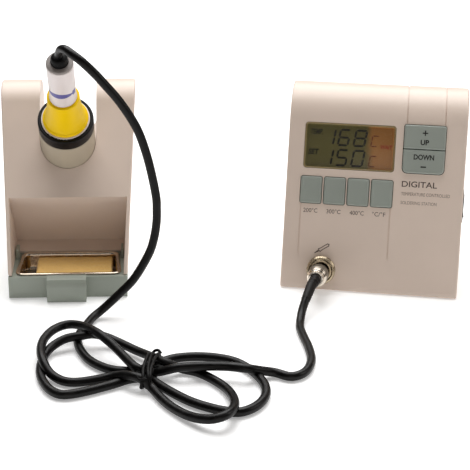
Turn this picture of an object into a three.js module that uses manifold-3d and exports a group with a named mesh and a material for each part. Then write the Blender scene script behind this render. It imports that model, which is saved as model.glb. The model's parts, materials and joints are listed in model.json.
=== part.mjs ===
// A soldering station: a control unit, an iron stand with a sponge drawer, and a pencil iron on its lead.
// Millimetres, +Z up. The stand faces -Y, and the unit beside it is turned a little towards the stand.
// The origin is on the table, under the middle of the stand, the iron and the unit.
import * as THREE from "three";
import { mergeVertices } from "three/addons/utils/BufferGeometryUtils.js";
import Module from "manifold-3d";

const wasm = await Module();
wasm.setup();

// ---- driving dimensions -------------------------------------------------------------------------

const GAP = 0.3; // left between neighbouring pieces
const FOOT = { radius: 5, height: 1.2 };

const UNIT = {
  place: [87.21, -53.34],
  turn: -11.7, // degrees about Z
  width: 120,
  slope: 70.7, // of the front panel, in degrees from the table
  slopeLength: 111.5,
  lip: 5, // height of the upright strip under the panel
  roll: 28.3, // radius of the rounded top
  wall: 2.5,
};

const STAND = {
  place: [-117.09, -51.64],
  width: 81, // at the foot of the slope
  widthGain: 0.128, // extra width for each millimetre of height
  slope: 53.1,
  slopeLength: 125,
  lip: 15.95,
  roll: 23.9,
  wall: 2.5,
  side: 2.7,
  slot: 39.4, // width of the slot that the holder tube lies in
  slotBottom: 76.4,
  rearFoot: 50.3, // where the body comes down to the table behind the drawer
};

const HOLDER = { tilt: 50.7, y: 57.6, z: 92.3, tube: 19, mouth: 28.5, ring: 9 }; // the iron's axis and its tube
const LEAD = { diameter: 5.6, sides: 10, step: 14 };
const PANEL = { pitch: 16, buttonWidth: 14.4, buttonHeight: 18.4, buttonU: -42.6, buttonV: 64.2 };
const SOCKET = { u: -32.4, v: 9.5 };

// ---- materials ----------------------------------------------------------------------------------

const finish = (color, roughness, metalness = 0) =>
  new THREE.MeshStandardMaterial({ color, roughness, metalness });

const beige = () => finish(0xdcd3c6, 0.5);
const greyGreen = () => finish(0x9aa7a0, 0.5);
const black = () => finish(0x1a1715, 0.55);
const leadBlack = () => finish(0x141010, 0.45);
const steel = () => finish(0xc9c9c6, 0.25, 1);
const nickel = () => finish(0xc8b690, 0.3, 1);
const rubber = () => finish(0x202020, 0.85);
const yellow = () => finish(0xf0c400, 0.4);
const white = () => finish(0xece6e2, 0.45);
const iron = () => finish(0x55534f, 0.5, 0.8);

// ---- solids -------------------------------------------------------------------------------------

// A closed geometry as a solid with its faces out.
function solid(geometry, matrix) {
  const bare = geometry.clone();
  if (matrix) bare.applyMatrix4(matrix);
  bare.deleteAttribute("normal");
  bare.deleteAttribute("uv");
  const merged = mergeVertices(bare, 1e-3);
  const index = merged.index.array;
  const kept = [];
  for (let i = 0; i < index.length; i += 3) {
    const [a, b, c] = [index[i], index[i + 1], index[i + 2]];
    if (a !== b && b !== c && c !== a) kept.push(a, b, c);
  }
  const build = (triangles) =>
    new wasm.Manifold(
      new wasm.Mesh({
        numProp: 3,
        vertProperties: new Float32Array(merged.attributes.position.array),
        triVerts: new Uint32Array(triangles),
      }),
    );
  const made = build(kept);
  return made.volume() < 0 ? build(kept.reverse()) : made;
}

const join = (first, ...rest) => rest.reduce((sum, next) => sum.add(next), first);
const cut = (first, ...rest) => rest.reduce((left, next) => left.subtract(next), first);

function geometryOf(body) {
  const m = body.getMesh();
  const position = new Float32Array(m.numVert * 3);
  for (let i = 0; i < m.numVert; i++) {
    position.set(m.vertProperties.subarray(i * m.numProp, i * m.numProp + 3), i * 3);
  }
  const geometry = new THREE.BufferGeometry();
  geometry.setAttribute("position", new THREE.BufferAttribute(position, 3));
  geometry.setIndex(new THREE.BufferAttribute(new Uint32Array(m.triVerts), 1));
  geometry.computeVertexNormals();
  return geometry;
}

function piece(group, name, body, material) {
  const mesh = new THREE.Mesh(geometryOf(body), material);
  mesh.name = name;
  group.add(mesh);
  return mesh;
}

function box(x0, x1, y0, y1, z0, z1) {
  const place = new THREE.Matrix4().makeTranslation((x0 + x1) / 2, (y0 + y1) / 2, (z0 + z1) / 2);
  return solid(new THREE.BoxGeometry(x1 - x0, y1 - y0, z1 - z0), place);
}

const shapeOf = (points) => new THREE.Shape(points.map(([a, b]) => new THREE.Vector2(a, b)));

function extruded(shape, length, matrix, curveSegments = 3) {
  return solid(
    new THREE.ExtrudeGeometry(shape, { depth: length, bevelEnabled: false, curveSegments }),
    matrix,
  );
}

const AXIS = {
  x: new THREE.Vector3(1, 0, 0),
  y: new THREE.Vector3(0, 1, 0),
  z: new THREE.Vector3(0, 0, 1),
};

// An outline of (y, z) points, from x0 to x1.
function prismX(points, x0, x1) {
  const turn = new THREE.Matrix4().makeBasis(AXIS.y, AXIS.z, AXIS.x).setPosition(x0, 0, 0);
  return extruded(shapeOf(points), x1 - x0, turn);
}

// A shape in (x, z), from y0 to y1.
function prismY(shape, y0, y1) {
  const back = AXIS.y.clone().negate();
  const turn = new THREE.Matrix4().makeBasis(AXIS.x, AXIS.z, back).setPosition(0, y1, 0);
  return extruded(shape, y1 - y0, turn);
}

// A shape in (x, y), from z0 to z1.
const prismZ = (shape, z0, z1) =>
  extruded(shape, z1 - z0, new THREE.Matrix4().makeTranslation(0, 0, z0));

function roundedRectangle(x0, x1, y0, y1, r) {
  const s = new THREE.Shape();
  s.moveTo(x0 + r, y0);
  s.lineTo(x1 - r, y0);
  s.absarc(x1 - r, y0 + r, r, -Math.PI / 2, 0, false);
  s.lineTo(x1, y1 - r);
  s.absarc(x1 - r, y1 - r, r, 0, Math.PI / 2, false);
  s.lineTo(x0 + r, y1);
  s.absarc(x0 + r, y1 - r, r, Math.PI / 2, Math.PI, false);
  s.lineTo(x0, y0 + r);
  s.absarc(x0 + r, y0 + r, r, Math.PI, 1.5 * Math.PI, false);
  return s;
}

// A profile of (radius, z) points turned about Z.
function turned(profile, sides, x = 0, y = 0) {
  const points = profile.map(([r, z]) => new THREE.Vector2(r, z));
  const up = new THREE.Matrix4().makeRotationX(Math.PI / 2).setPosition(x, y, 0);
  return solid(new THREE.LatheGeometry(points, sides), up);
}

const rod = (r, z0, z1, sides = 16, x = 0, y = 0) =>
  turned([[0, z0], [r, z0], [r, z1], [0, z1]], sides, x, y);

const sleeve = (inner, outer, z0, z1, sides = 24) =>
  turned([[inner, z0], [outer, z0], [outer, z1], [inner, z1], [inner, z0]], sides);

// The same solid in another frame.
const moved = (body, matrix) => solid(geometryOf(body), matrix);

// A round bar of the lead's many sides along a smooth curve through the points.
function bar(points, radius, steps) {
  const curve = new THREE.CatmullRomCurve3(points.map((p) => new THREE.Vector3(...p)));
  const sides = [];
  for (let i = 0; i < LEAD.sides; i++) {
    const t = (2 * Math.PI * (i + 0.5)) / LEAD.sides;
    sides.push([radius * Math.cos(t), radius * Math.sin(t)]);
  }
  const count = steps ?? Math.round(curve.getLength() / LEAD.step);
  return solid(
    new THREE.ExtrudeGeometry(shapeOf(sides), {
      steps: count,
      extrudePath: curve,
      bevelEnabled: false,
    }),
  );
}

// ---- the side outline that the unit and the stand share ------------------------------------------

// A straight slope above an upright lip, a rounded top and an upright back, moved in by inset.
function sideOf({ slope, slopeLength, lip, roll }, inset = 0, rollPoints = 10) {
  const a = THREE.MathUtils.degToRad(slope);
  const centreY = slopeLength * Math.cos(a) + roll * Math.sin(a);
  const centreZ = lip + slopeLength * Math.sin(a) - roll * Math.cos(a);
  const r = roll - inset;
  const curve = [];
  for (let i = 0; i <= rollPoints; i++) {
    const t = Math.PI / 2 + a - (i / rollPoints) * (Math.PI / 2 + a);
    curve.push([centreY + r * Math.cos(t), centreZ + r * Math.sin(t)]);
  }
  const lipZ = lip + inset * (Math.tan(a) - 1 / Math.cos(a));
  return { front: [inset, lipZ], curve, back: centreY + r, centreZ };
}

// The matrix of a sloping front: X across it, Y up it, Z out of it.
function slopeFrame({ slope, lip }) {
  const a = THREE.MathUtils.degToRad(slope);
  const up = new THREE.Vector3(0, Math.cos(a), Math.sin(a));
  const out = new THREE.Vector3(0, -Math.sin(a), Math.cos(a));
  return new THREE.Matrix4().makeBasis(AXIS.x, up, out).setPosition(0, 0, lip);
}

// ---- control unit --------------------------------------------------------------------------------

const unitSide = sideOf(UNIT);
const unitInside = sideOf(UNIT, UNIT.wall);
const panel = slopeFrame(UNIT);
const halfWidth = UNIT.width / 2;
const insideX = halfWidth - UNIT.wall;
const bottom = FOOT.height + GAP;
const BASE_PLATE = { top: 4, screwY: [12, 85], screwX: 54 };
const INLET = { x: -30, z: 30 };
const FUSE = { x: 35, z: 30 };
const ROCKER = { y: 43, z: 52, halfY: 6.5, halfZ: 9.5 };
const LCD = [-49.1, 12.7, 79, 110.6];
const KEYS = [18.1, 45.9, 79.3, 111.9];
const KEY_SPLIT = 95.6;
const buttons = [0, 1, 2, 3].map((i) => PANEL.buttonU + i * PANEL.pitch);

const onPanel = (body) => moved(body, panel);
const plate = ([u0, u1, v0, v1], grow, z0, z1, radius = 1) =>
  prismZ(roundedRectangle(u0 - grow, u1 + grow, v0 - grow, v1 + grow, radius), z0, z1);
const buttonBounds = (u) => [
  u - PANEL.buttonWidth / 2,
  u + PANEL.buttonWidth / 2,
  PANEL.buttonV - PANEL.buttonHeight / 2,
  PANEL.buttonV + PANEL.buttonHeight / 2,
];

// A thin groove that runs over the rounded top at x.
function topGroove(x) {
  const outside = sideOf(UNIT, -1);
  const inside = sideOf(UNIT, 0.7);
  const band = [...outside.curve, ...inside.curve.reverse()];
  return prismX(band, x - 0.4, x + 0.4);
}

function unitCase() {
  const outline = [[0, bottom], unitSide.front, ...unitSide.curve, [unitSide.back, bottom]];
  const hollow = [[UNIT.wall, -1], unitInside.front, ...unitInside.curve, [unitInside.back, -1]];
  let body = cut(
    prismX(outline, -halfWidth, halfWidth),
    prismX(hollow, -insideX, insideX),
    box(-insideX, insideX, unitInside.back - 0.1, unitSide.back + 1, -1, unitSide.centreZ),
    box(halfWidth - 4, halfWidth + 1, ROCKER.y - 6, ROCKER.y + 6, ROCKER.z - 9, ROCKER.z + 9),
    topGroove(19.5),
    topGroove(45),
    onPanel(plate(LCD, 0, -5, 5, 2)),
    onPanel(plate(KEYS, 0.3, -5, 5, 0.8)),
    onPanel(rod(8, -5, 5, 24, SOCKET.u, SOCKET.v)),
  );
  for (const u of buttons) body = cut(body, onPanel(plate(buttonBounds(u), 0.3, -5, 5)));
  for (const u of [-49, 11.7]) body = cut(body, onPanel(box(u - 0.4, u + 0.4, 20, 54.5, -0.7, 2)));
  for (const u of [-BASE_PLATE.screwX, BASE_PLATE.screwX]) {
    for (const v of [47, 104]) body = join(body, onPanel(rod(2.5, -9.1, -2, 12, u, v)));
    for (const y of BASE_PLATE.screwY) {
      const boss = rod(3.8, BASE_PLATE.top + GAP, 16, 16, u, y);
      body = cut(join(body, boss), rod(1.8, 0, 13, 12, u, y));
    }
  }
  return body;
}

function rearPanel() {
  const back = unitSide.back;
  const z1 = unitSide.centreZ - GAP;
  let body = box(-insideX + GAP, insideX - GAP, back - UNIT.wall, back, BASE_PLATE.top + GAP, z1);
  const inletHole = roundedRectangle(INLET.x - 14, INLET.x + 14, INLET.z - 10.3, INLET.z + 10.3, 2);
  body = cut(body, prismY(inletHole, back - 5, back + 5));
  const fuseHole = moved(rod(6.3, -5, 5), backward(FUSE.x, back, FUSE.z));
  body = cut(body, fuseHole);
  for (let i = 0; i < 9; i++) {
    const x = -32 + 8 * i;
    body = cut(body, box(x - 1.5, x + 1.5, back - 5, back + 5, 62, 88));
  }
  return body;
}

// The matrix of a piece whose own Z points out of the unit's back, at (x, y, z).
const backward = (x, y, z) =>
  new THREE.Matrix4().makeBasis(AXIS.x.clone().negate(), AXIS.z, AXIS.y).setPosition(x, y, z);

function basePlate() {
  const reach = insideX - GAP;
  const front = UNIT.wall + GAP;
  let body = box(-reach, reach, front, unitSide.back - GAP, bottom, BASE_PLATE.top);
  for (const u of [-BASE_PLATE.screwX, BASE_PLATE.screwX]) {
    for (const y of BASE_PLATE.screwY) {
      body = cut(body, rod(1.8, 0, 6, 12, u, y), rod(3.3, 0, 2.9, 16, u, y));
    }
  }
  return body;
}

const caseScrew = (x, y) =>
  turned([[0, 1.7], [3, 1.7], [3, 2.5], [1.4, 2.5], [1.4, 11], [0, 11]], 12, x, y);

const button = (bounds, top) =>
  join(
    plate(bounds, 0, -3.5, top, 1),
    box(bounds[0] - 0.6, bounds[1] + 0.6, bounds[2] - 0.6, bounds[3] + 0.6, -4.3, -2.8),
    centredRod(bounds, 1.5, -5.5, -4),
  );

function centredRod([u0, u1, v0, v1], r, z0, z1) {
  return rod(r, z0, z1, 10, (u0 + u1) / 2, (v0 + v1) / 2);
}

// The two keys share a rounded rectangle: the lower one keeps its two lower corners round.
function key(v0, v1) {
  const whole = plate(KEYS, 0, -3.5, 2, 3);
  const wanted = box(KEYS[0] - 1, KEYS[1] + 1, v0, v1, -4, 3);
  const keyTop = whole.intersect(wanted);
  return join(
    keyTop,
    box(KEYS[0] - 0.6, KEYS[1] + 0.6, v0, v1, -4.3, -2.8),
    centredRod([KEYS[0], KEYS[1], v0, v1], 1.5, -5.5, -4),
  );
}

function mainBoard() {
  let body = box(-50, 50, 24, 112, -11, -9.4);
  for (const u of [-BASE_PLATE.screwX, BASE_PLATE.screwX]) {
    for (const v of [47, 104]) {
      const near = u < 0 ? [-56, -49] : [49, 56];
      body = join(body, box(near[0], near[1], v - 4, v + 4, -11, -9.4));
    }
  }
  for (const u of buttons) body = join(body, box(u - 3, u + 3, 61.2, 67.2, -9.5, -7));
  return body;
}

function transformerCore() {
  const body = box(-28.5, 28.5, 38, 60, 4.3, 52.3);
  return cut(body, box(-19, -9.5, 30, 70, 14.3, 42.3), box(9.5, 19, 30, 70, 14.3, 42.3));
}

const transformerWinding = () =>
  cut(box(-18.7, 18.7, 31.5, 66.5, 14.6, 42), box(-9.8, 9.8, 37.7, 60.3, 10, 50));

function mainsInlet() {
  const back = unitSide.back;
  const around = (dx, dz, r) =>
    roundedRectangle(INLET.x - dx, INLET.x + dx, INLET.z - dz, INLET.z + dz, r);
  let body = join(
    prismY(around(13.7, 10, 2), back - 22, back + 1),
    prismY(around(15.5, 12, 2), back + GAP, back + 2.8),
  );
  body = cut(body, prismY(around(11.5, 7.8, 2), back - 14, back + 5));
  for (const [dx, dz] of [[-7, -2], [7, -2], [0, 2]]) {
    const x = INLET.x + dx;
    const z = INLET.z + dz;
    body = join(body, box(x - 1, x + 1, back - 15, back - 7, z - 2, z + 2));
  }
  return body;
}

// The rocker's hinge lies along Y at (pivotX, z). It is made with its upper end pressed in.
function powerRocker() {
  const pivotX = halfWidth - 3;
  const outline = [[-4, -4], [3.4, -7.6], [4.4, -7.6], [3.6, 0], [4.4, 7.6], [3.4, 7.6], [-4, 4]];
  const tilt = new THREE.Matrix4().makeRotationY(THREE.MathUtils.degToRad(-7));
  tilt.setPosition(pivotX, ROCKER.y, ROCKER.z);
  return moved(prismY(shapeOf(outline), -4.7, 4.7), tilt);
}

function rockerFrame() {
  const x = halfWidth;
  const { y, z, halfY, halfZ } = ROCKER;
  return cut(
    join(
      box(x - 20, x + 0.5, y - 5.7, y + 5.7, z - 8.9 + 0.2, z + 8.9 - 0.2),
      box(x + GAP, x + 1.5, y - halfY, y + halfY, z - halfZ - 0.6, z + halfZ + 0.6),
    ),
    box(x - 9, x + 3, y - 5, y + 5, z - 8.7 + 0.2, z + 8.7 - 0.2),
  );
}

function panelSocket() {
  const profile = [
    [0, -9], [6.6, -9], [6.6, -6.2], [7.6, -6.2], [7.6, 0.3], [9.8, 0.3], [9.8, 2.4], [7.4, 2.4], [7.4, 8], [5.8, 8],
    [5.8, -7.6], [0, -7.6],
  ];
  return turned(profile, 24);
}

const control = new THREE.Group();
control.position.set(...UNIT.place, 0);
control.rotation.z = THREE.MathUtils.degToRad(UNIT.turn);

piece(control, "unit_case", unitCase(), beige());
piece(control, "rear_panel", rearPanel(), greyGreen());
piece(control, "base_plate", basePlate(), greyGreen());
piece(control, "lcd_lens", onPanel(plate(LCD, -GAP, -2.3, -0.4, 2)), finish(0x8a8350, 0.15));
piece(control, "lcd_module", onPanel(box(-51, 15.6, 76, 111.2, -7.5, -2.8)), finish(0x3a3d34, 0.6));
piece(control, "switch_housing", onPanel(box(16.2, 48, 77, 113.5, -9.1, -7.2)), black());
piece(control, "main_board", onPanel(mainBoard()), finish(0x2f5a36, 0.6));
buttons.forEach((u, i) => {
  piece(control, `preset_button_${i + 1}`, onPanel(button(buttonBounds(u), 1.5)), greyGreen());
});
piece(control, "up_key", onPanel(key(KEY_SPLIT + 0.2, KEYS[3] + 0.1)), greyGreen());
piece(control, "down_key", onPanel(key(KEYS[2] - 0.1, KEY_SPLIT - 0.2)), greyGreen());
piece(control, "transformer_core", transformerCore(), iron());
piece(control, "transformer_winding", transformerWinding(), finish(0x9a5a2c, 0.5));
piece(control, "mains_inlet", mainsInlet(), black());
piece(control, "rocker_frame", rockerFrame(), black());
piece(control, "power_rocker", powerRocker(), black());

const fuseFrame = backward(FUSE.x, unitSide.back, FUSE.z);
const fuseHolder = cut(join(rod(6, -26, 1), rod(7.8, 0.3, 2)), rod(4.2, -22, 4));
const fuseCap = join(rod(3.9, -18, 3), rod(5.6, 2.4, 6), box(-5, 5, -0.8, 0.8, 5.5, 7.4));
piece(control, "fuse_holder", moved(fuseHolder, fuseFrame), black());
piece(control, "fuse_cap", moved(fuseCap, fuseFrame), black());

const socketFrame = panel.clone().multiply(new THREE.Matrix4().makeTranslation(SOCKET.u, SOCKET.v, 0));
piece(control, "panel_socket", moved(panelSocket(), socketFrame), nickel());
const turnedFlat = new THREE.Matrix4().makeRotationZ(Math.PI / 6);
const nut = cut(moved(rod(9.6, -5.4, -2.8, 6), turnedFlat), rod(7.9, -7, 0, 24));
piece(control, "socket_nut", moved(nut, socketFrame), steel());

[[-48, 10], [48, 10], [-48, 80], [48, 80]].forEach(([x, y], i) => {
  piece(control, `unit_foot_${i + 1}`, rod(FOOT.radius, 0, FOOT.height, 12, x, y), rubber());
});
let screwCount = 0;
for (const x of [-BASE_PLATE.screwX, BASE_PLATE.screwX]) {
  for (const y of BASE_PLATE.screwY) {
    screwCount += 1;
    piece(control, `case_screw_${screwCount}`, caseScrew(x, y), steel());
  }
}

// ---- iron stand ----------------------------------------------------------------------------------

const standSide = sideOf(STAND);
const standInside = sideOf(STAND, STAND.wall);
const DRAWER = { halfX: 40.2, front: -1, back: 49.9, top: 15.6, tab: [-14, 12.5] };
const DISH = { x: [-36, 36.6], y: [1.2, 39.3], rim: 17, floor: 4.5, narrowing: 0.00167 };

// The matrix of the holder: Z points up along the iron, out of the tube's mouth.
function holderFrame() {
  const b = THREE.MathUtils.degToRad(HOLDER.tilt);
  const along = new THREE.Vector3(0, -Math.cos(b), Math.sin(b));
  const across = new THREE.Vector3(0, Math.sin(b), Math.cos(b));
  return new THREE.Matrix4().makeBasis(AXIS.x, across, along).setPosition(0, HOLDER.y, HOLDER.z);
}

const holder = holderFrame();
const inHolder = (body) => moved(body, holder);

// Everything between the stand's two leaning sides, moved in by inset.
function betweenSides(inset) {
  const half = (z) => (STAND.width + STAND.widthGain * (z - STAND.lip)) / 2 - inset;
  return prismY(shapeOf([[-half(-9), -9], [half(-9), -9], [half(150), 150], [-half(150), 150]]), -20, 140);
}

// The slot across the top, as a U seen from the front, made larger by grow.
function slotSolid(grow) {
  const r = STAND.slot / 2 + grow;
  const centre = STAND.slotBottom + STAND.slot / 2;
  const s = new THREE.Shape();
  s.moveTo(-r, 150);
  s.lineTo(-r, centre);
  s.absarc(0, centre, r, Math.PI, 2 * Math.PI, false);
  s.lineTo(r, 150);
  return prismY(s, 20, 140);
}

function standBody() {
  const outline = [
    standSide.front,
    ...standSide.curve,
    [standSide.back, bottom],
    [STAND.rearFoot, bottom],
    [STAND.rearFoot, STAND.lip],
  ];
  const rear = STAND.rearFoot + STAND.wall;
  const hollow = [[rear, -5], [rear, 16.5], [4, 16.5], [4, 17.1], ...standInside.curve, [standInside.back, -5]];
  const recess = [[-9, 17.3], [40, 17.3], [52, 20.5], [50.5, 28], [47, 38], [41.5, 49], [33.07, 60], [-9, 60]];
  const recessSkin = [
    [-12, 13], [54.9, 13], [54.8, 20.3], [53, 28.7], [49.3, 39], [43.6, 50.4], [35.5, 62.4], [-12, 62.4],
  ];
  const inside = cut(
    prismX(hollow, -60, 60).intersect(betweenSides(STAND.side)),
    prismX(recessSkin, -70, 70),
    slotSolid(STAND.wall),
  );
  let body = cut(
    prismX(outline, -60, 60).intersect(betweenSides(0)),
    inside,
    prismX(recess, -60, 60).intersect(betweenSides(STAND.side)),
    box(-37.8, 37.8, -9, 39.6, 0, 17.4),
    slotSolid(0),
    inHolder(rod(HOLDER.tube + GAP, -70, 45, 28)),
  );
  for (const x of [-33, 33]) {
    body = cut(join(body, rod(5.3, 4.8, 17, 12, x, 84)), rod(1.8, 0, 13, 12, x, 84));
  }
  return body;
}

function standWeight() {
  const plateBody = box(-36.2, 36.2, STAND.rearFoot + STAND.wall + GAP, standInside.back - GAP, bottom, 4.5);
  return [-33, 33].reduce(
    (body, x) => cut(body, rod(1.8, 0, 6, 12, x, 84), rod(3.3, 0, 2.9, 16, x, 84)),
    plateBody,
  );
}

function spongeDrawer() {
  const { halfX, front, back, top, tab } = DRAWER;
  const tabOutline = [[-0.5, 0.2], [-8.5, 0.2], [-9.3, 11], [-8.6, 14], [-6.8, 16], [-3.5, 16.8], [-0.5, 16.8]];
  const whole = join(
    box(-halfX, halfX, front, back, 0.4, top),
    prismX(tabOutline, ...tab),
    box(-37.4, -35.3, 29, 39.3, top - 1, 22.5),
    box(35.9, 37.4, 29, 39.3, top - 1, 22.5),
  );
  return cut(
    whole,
    box(-34.2, 34.9, 2.4, 38.3, 3.5, 30),
    box(-37, 37, 41, 47, -1, 12),
    box(tab[0] + 2, tab[1] - 2, -6.5, 0, -1, 13),
  );
}

// The dish is a little narrower at the back.
function narrowed(body) {
  const geometry = geometryOf(body);
  const at = geometry.attributes.position;
  for (let i = 0; i < at.count; i++) {
    at.setX(i, at.getX(i) * (1 - DISH.narrowing * (at.getY(i) - DISH.y[0])));
  }
  return solid(geometry);
}

function spongeDish() {
  const [x0, x1] = DISH.x;
  const [y0, y1] = DISH.y;
  const inset = (d, r) => roundedRectangle(x0 + d, x1 - d, y0 + d, y1 - d, r);
  const pressed = cut(
    join(prismZ(inset(0, 6), DISH.rim - 1.1, DISH.rim), prismZ(inset(2.4, 5), DISH.floor, DISH.rim - 0.5)),
    prismZ(inset(3.2, 4.2), DISH.floor + 0.8, DISH.rim + 2),
  );
  return narrowed(pressed);
}

const stand = new THREE.Group();
stand.position.set(...STAND.place, 0);

piece(stand, "stand_body", standBody(), beige());
piece(stand, "stand_weight", standWeight(), iron());
const tube = sleeve(HOLDER.tube - 2.2, HOLDER.tube, -62, 19.2, 28);
piece(stand, "holder_tube", inHolder(tube), beige());
const ringStart = HOLDER.mouth - HOLDER.ring;
piece(stand, "insulating_ring", inHolder(sleeve(16.6, HOLDER.tube, ringStart, HOLDER.mouth, 28)), black());
piece(stand, "tube_liner", inHolder(sleeve(15, 16.3, -50, HOLDER.mouth + 0.3, 28)), steel());
piece(stand, "sponge_drawer", spongeDrawer(), greyGreen());
piece(stand, "sponge_dish", spongeDish(), steel());
const spongeShape = roundedRectangle(-22.6, 30.2, 5.2, 35, 1.5);
piece(stand, "sponge", prismZ(spongeShape, 5.6, 15.4), finish(0xe0a24a, 0.95));
[[-28, 60], [28, 60], [-28, 108], [28, 108]].forEach(([x, y], i) => {
  piece(stand, `stand_foot_${i + 1}`, rod(FOOT.radius, 0, FOOT.height, 12, x, y), rubber());
});
piece(stand, "stand_screw_1", caseScrew(-33, 84), steel());
piece(stand, "stand_screw_2", caseScrew(33, 84), steel());

// ---- iron, along the holder's axis ---------------------------------------------------------------

const GRIP = [
  [5.3, 29.1], [15.5, 29.1], [15.5, 30.8], [14.4, 31.6], [13, 36], [12, 41], [11.2, 47], [10.9, 52], [10.9, 55.9],
  [5.3, 55.9], [5.3, 29.1],
];
const HANDLE = [[6, 56.2], [9, 56.2], [8.8, 60], [8.9, 92.6], [6, 92.6], [6, 56.2]];
const HANDLE_CAP = [
  [3.3, 88.3], [5.7, 88.3], [5.7, 92.9], [8.7, 92.9], [8.7, 93.8], [8.2, 94.4], [3.3, 94.4], [3.3, 88.3],
];
const BOOT = [[0, 89], [3, 89], [3, 94.7], [5.8, 94.7], [5.6, 98.2], [4, 100.6], [0, 100.6]];
const TIP = [[0, -56], [0.7, -55.6], [2.4, -42], [4.6, -34], [4.6, -32.3], [3.2, -32.3], [3.2, -12.3], [0, -12.3]];

piece(stand, "iron_tip", inHolder(turned(TIP, 14)), nickel());
piece(stand, "iron_barrel", inHolder(sleeve(3.6, 5, -32, 50, 16)), steel());
piece(stand, "barrel_nut", inHolder(sleeve(5.3, 7.5, 18, 28.8, 16)), steel());
piece(stand, "heater", inHolder(rod(2.8, -12, 49, 12)), white());
piece(stand, "iron_grip", inHolder(turned(GRIP, 24)), yellow());
piece(stand, "iron_handle", inHolder(turned(HANDLE, 20)), white());
piece(stand, "handle_cap", inHolder(turned(HANDLE_CAP, 20)), finish(0x8d8784, 0.5));
piece(stand, "strain_boot", inHolder(turned(BOOT, 14)), black());

// ---- lead, in the part's own frame ---------------------------------------------------------------

// From the iron's boot, over to the side, down to the table and into the tied bundle.
const IRON_RUN = [
  [-117.1, -58.1, 170.8], [-116.6, -61, 173], [-115.6, -65.5, 176.2], [-113.4, -70, 178], [-110.9, -74, 178.1],
  [-108.1, -77.5, 177], [-101.9, -81, 173.1], [-93.9, -82, 165.4], [-88.4, -81.5, 158.8], [-80.3, -80.5, 148.6],
  [-72.2, -79.5, 135.8], [-66.8, -79, 124.3], [-61.5, -78.8, 106.2], [-57.3, -79.2, 84.5], [-56.8, -79.5, 74.2],
  [-57.1, -80, 65.2], [-58.9, -81, 54.6], [-62.5, -81.5, 43.8], [-72.1, -81.7, 26.9], [-82.3, -82.2, 16],
  [-89, -83, 9.6], [-94.8, -84.8, 5], [-99.3, -89.4, 3.1], [-102.8, -98.9, 2.9], [-105.8, -112.9, 2.9],
];

// From the bundle to the plug's boot.
const PLUG_RUN = [
  [-5.3, -161.4, 2.9], [3.7, -165.4, 2.9], [12.7, -169.9, 2.9], [21.7, -172.4, 2.9], [30.7, -166.9, 2.9],
  [36.2, -152.9, 2.9], [36.7, -135.9, 2.9], [35.5, -122.9, 2.9], [34.5, -110.9, 2.9], [35, -103.5, 3.1],
  [36, -98, 4.4], [37, -94, 5.9], [38, -91, 7.7], [39.1, -88.5, 9.4], [40.3, -86.1, 11.3],
];
const PLUG_BOOT_BEND = [[45.4, -74.5, 16.4], [42.9, -80.5, 14.2], [40.6, -85.5, 11.7]];

// The outline of the tied loops, which lie on both sides of the tie.
const BUNDLE = [
  [-63.3, -151.9], [-81.3, -126.9], [-99.3, -106.9], [-116.3, -101.9], [-129.3, -109.9], [-134.3, -132.9], [-134.3, -159.9], [-129.3, -181.9],
  [-116.3, -194.9], [-99.3, -192.9], [-80.3, -183.9], [-63.3, -183.9], [-57.3, -201.9], [-46.3, -216.9], [-32.3, -225.9], [-18.3, -222.9],
  [-6.3, -217.9], [5.7, -209.9], [9.7, -194.9], [9.7, -179.9], [4.7, -163.9], [-7.3, -149.9], [-21.3, -142.9], [-35.3, -140.9], [-49.3, -145.9],
];
const TIE = { x: [-68, -58], y: [-184.5, -151.5], top: 13.2, thick: 2 };

function bundleSolid(grow, z0, z1) {
  const outline = new THREE.SplineCurve([...BUNDLE, BUNDLE[0]].map(([x, y]) => new THREE.Vector2(x, y)));
  const points = outline.getSpacedPoints(60).slice(0, 60);
  const shape = points.map((p, i) => {
    const along = points[(i + 1) % 60].clone().sub(points[(i + 59) % 60]).normalize();
    return [p.x - along.y * grow, p.y + along.x * grow];
  });
  return prismZ(shapeOf(shape), z0, z1);
}

// The tie is a flat ring round the crossing of the loops, grown outwards and inwards by grow.
function tieBox(grow) {
  const [x0, x1] = TIE.x;
  const [y0, y1] = TIE.y;
  const wide = grow > 0 ? 20 : 0;
  const outer = box(x0 - grow, x1 + grow, y0 - wide, y1 + wide, -wide, TIE.top + wide);
  const side = TIE.thick + grow;
  const level = 1.3 + grow;
  return cut(outer, box(x0 - 5, x1 + 5, y0 + side, y1 - side, level, TIE.top - level));
}

const lead = new THREE.Group();
const clear = bundleSolid(-GAP, -9, 20);
const radius = LEAD.diameter / 2;

piece(lead, "lead_iron_run", cut(bar(IRON_RUN, radius), clear), leadBlack());
piece(lead, "lead_bundle", cut(bundleSolid(0, 0.02, 11.6), tieBox(GAP)), leadBlack());
piece(lead, "lead_plug_run", cut(bar(PLUG_RUN, radius), clear), leadBlack());
piece(lead, "lead_tie", tieBox(0), rubber());
// The plug droops a little in its socket, to the lower left of the panel, about a point inside the ring.
const DROOP = { pivot: 4, degrees: 14, axis: new THREE.Vector3(0.91, -0.41, 0).normalize() };
const drooping = new THREE.Matrix4()
  .makeRotationAxis(DROOP.axis, THREE.MathUtils.degToRad(DROOP.degrees))
  .setPosition(0, 0, DROOP.pivot);
const plugFrame = socketFrame.clone().multiply(drooping);
control.updateMatrix();
const plugInStation = control.matrix.clone().multiply(plugFrame);
const onPlugAxis = (w) => new THREE.Vector3(0, 0, w).applyMatrix4(plugInStation).toArray();
piece(lead, "plug_boot", bar([onPlugAxis(20.6), onPlugAxis(22.6), ...PLUG_BOOT_BEND], 3.9, 8), rubber());

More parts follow.
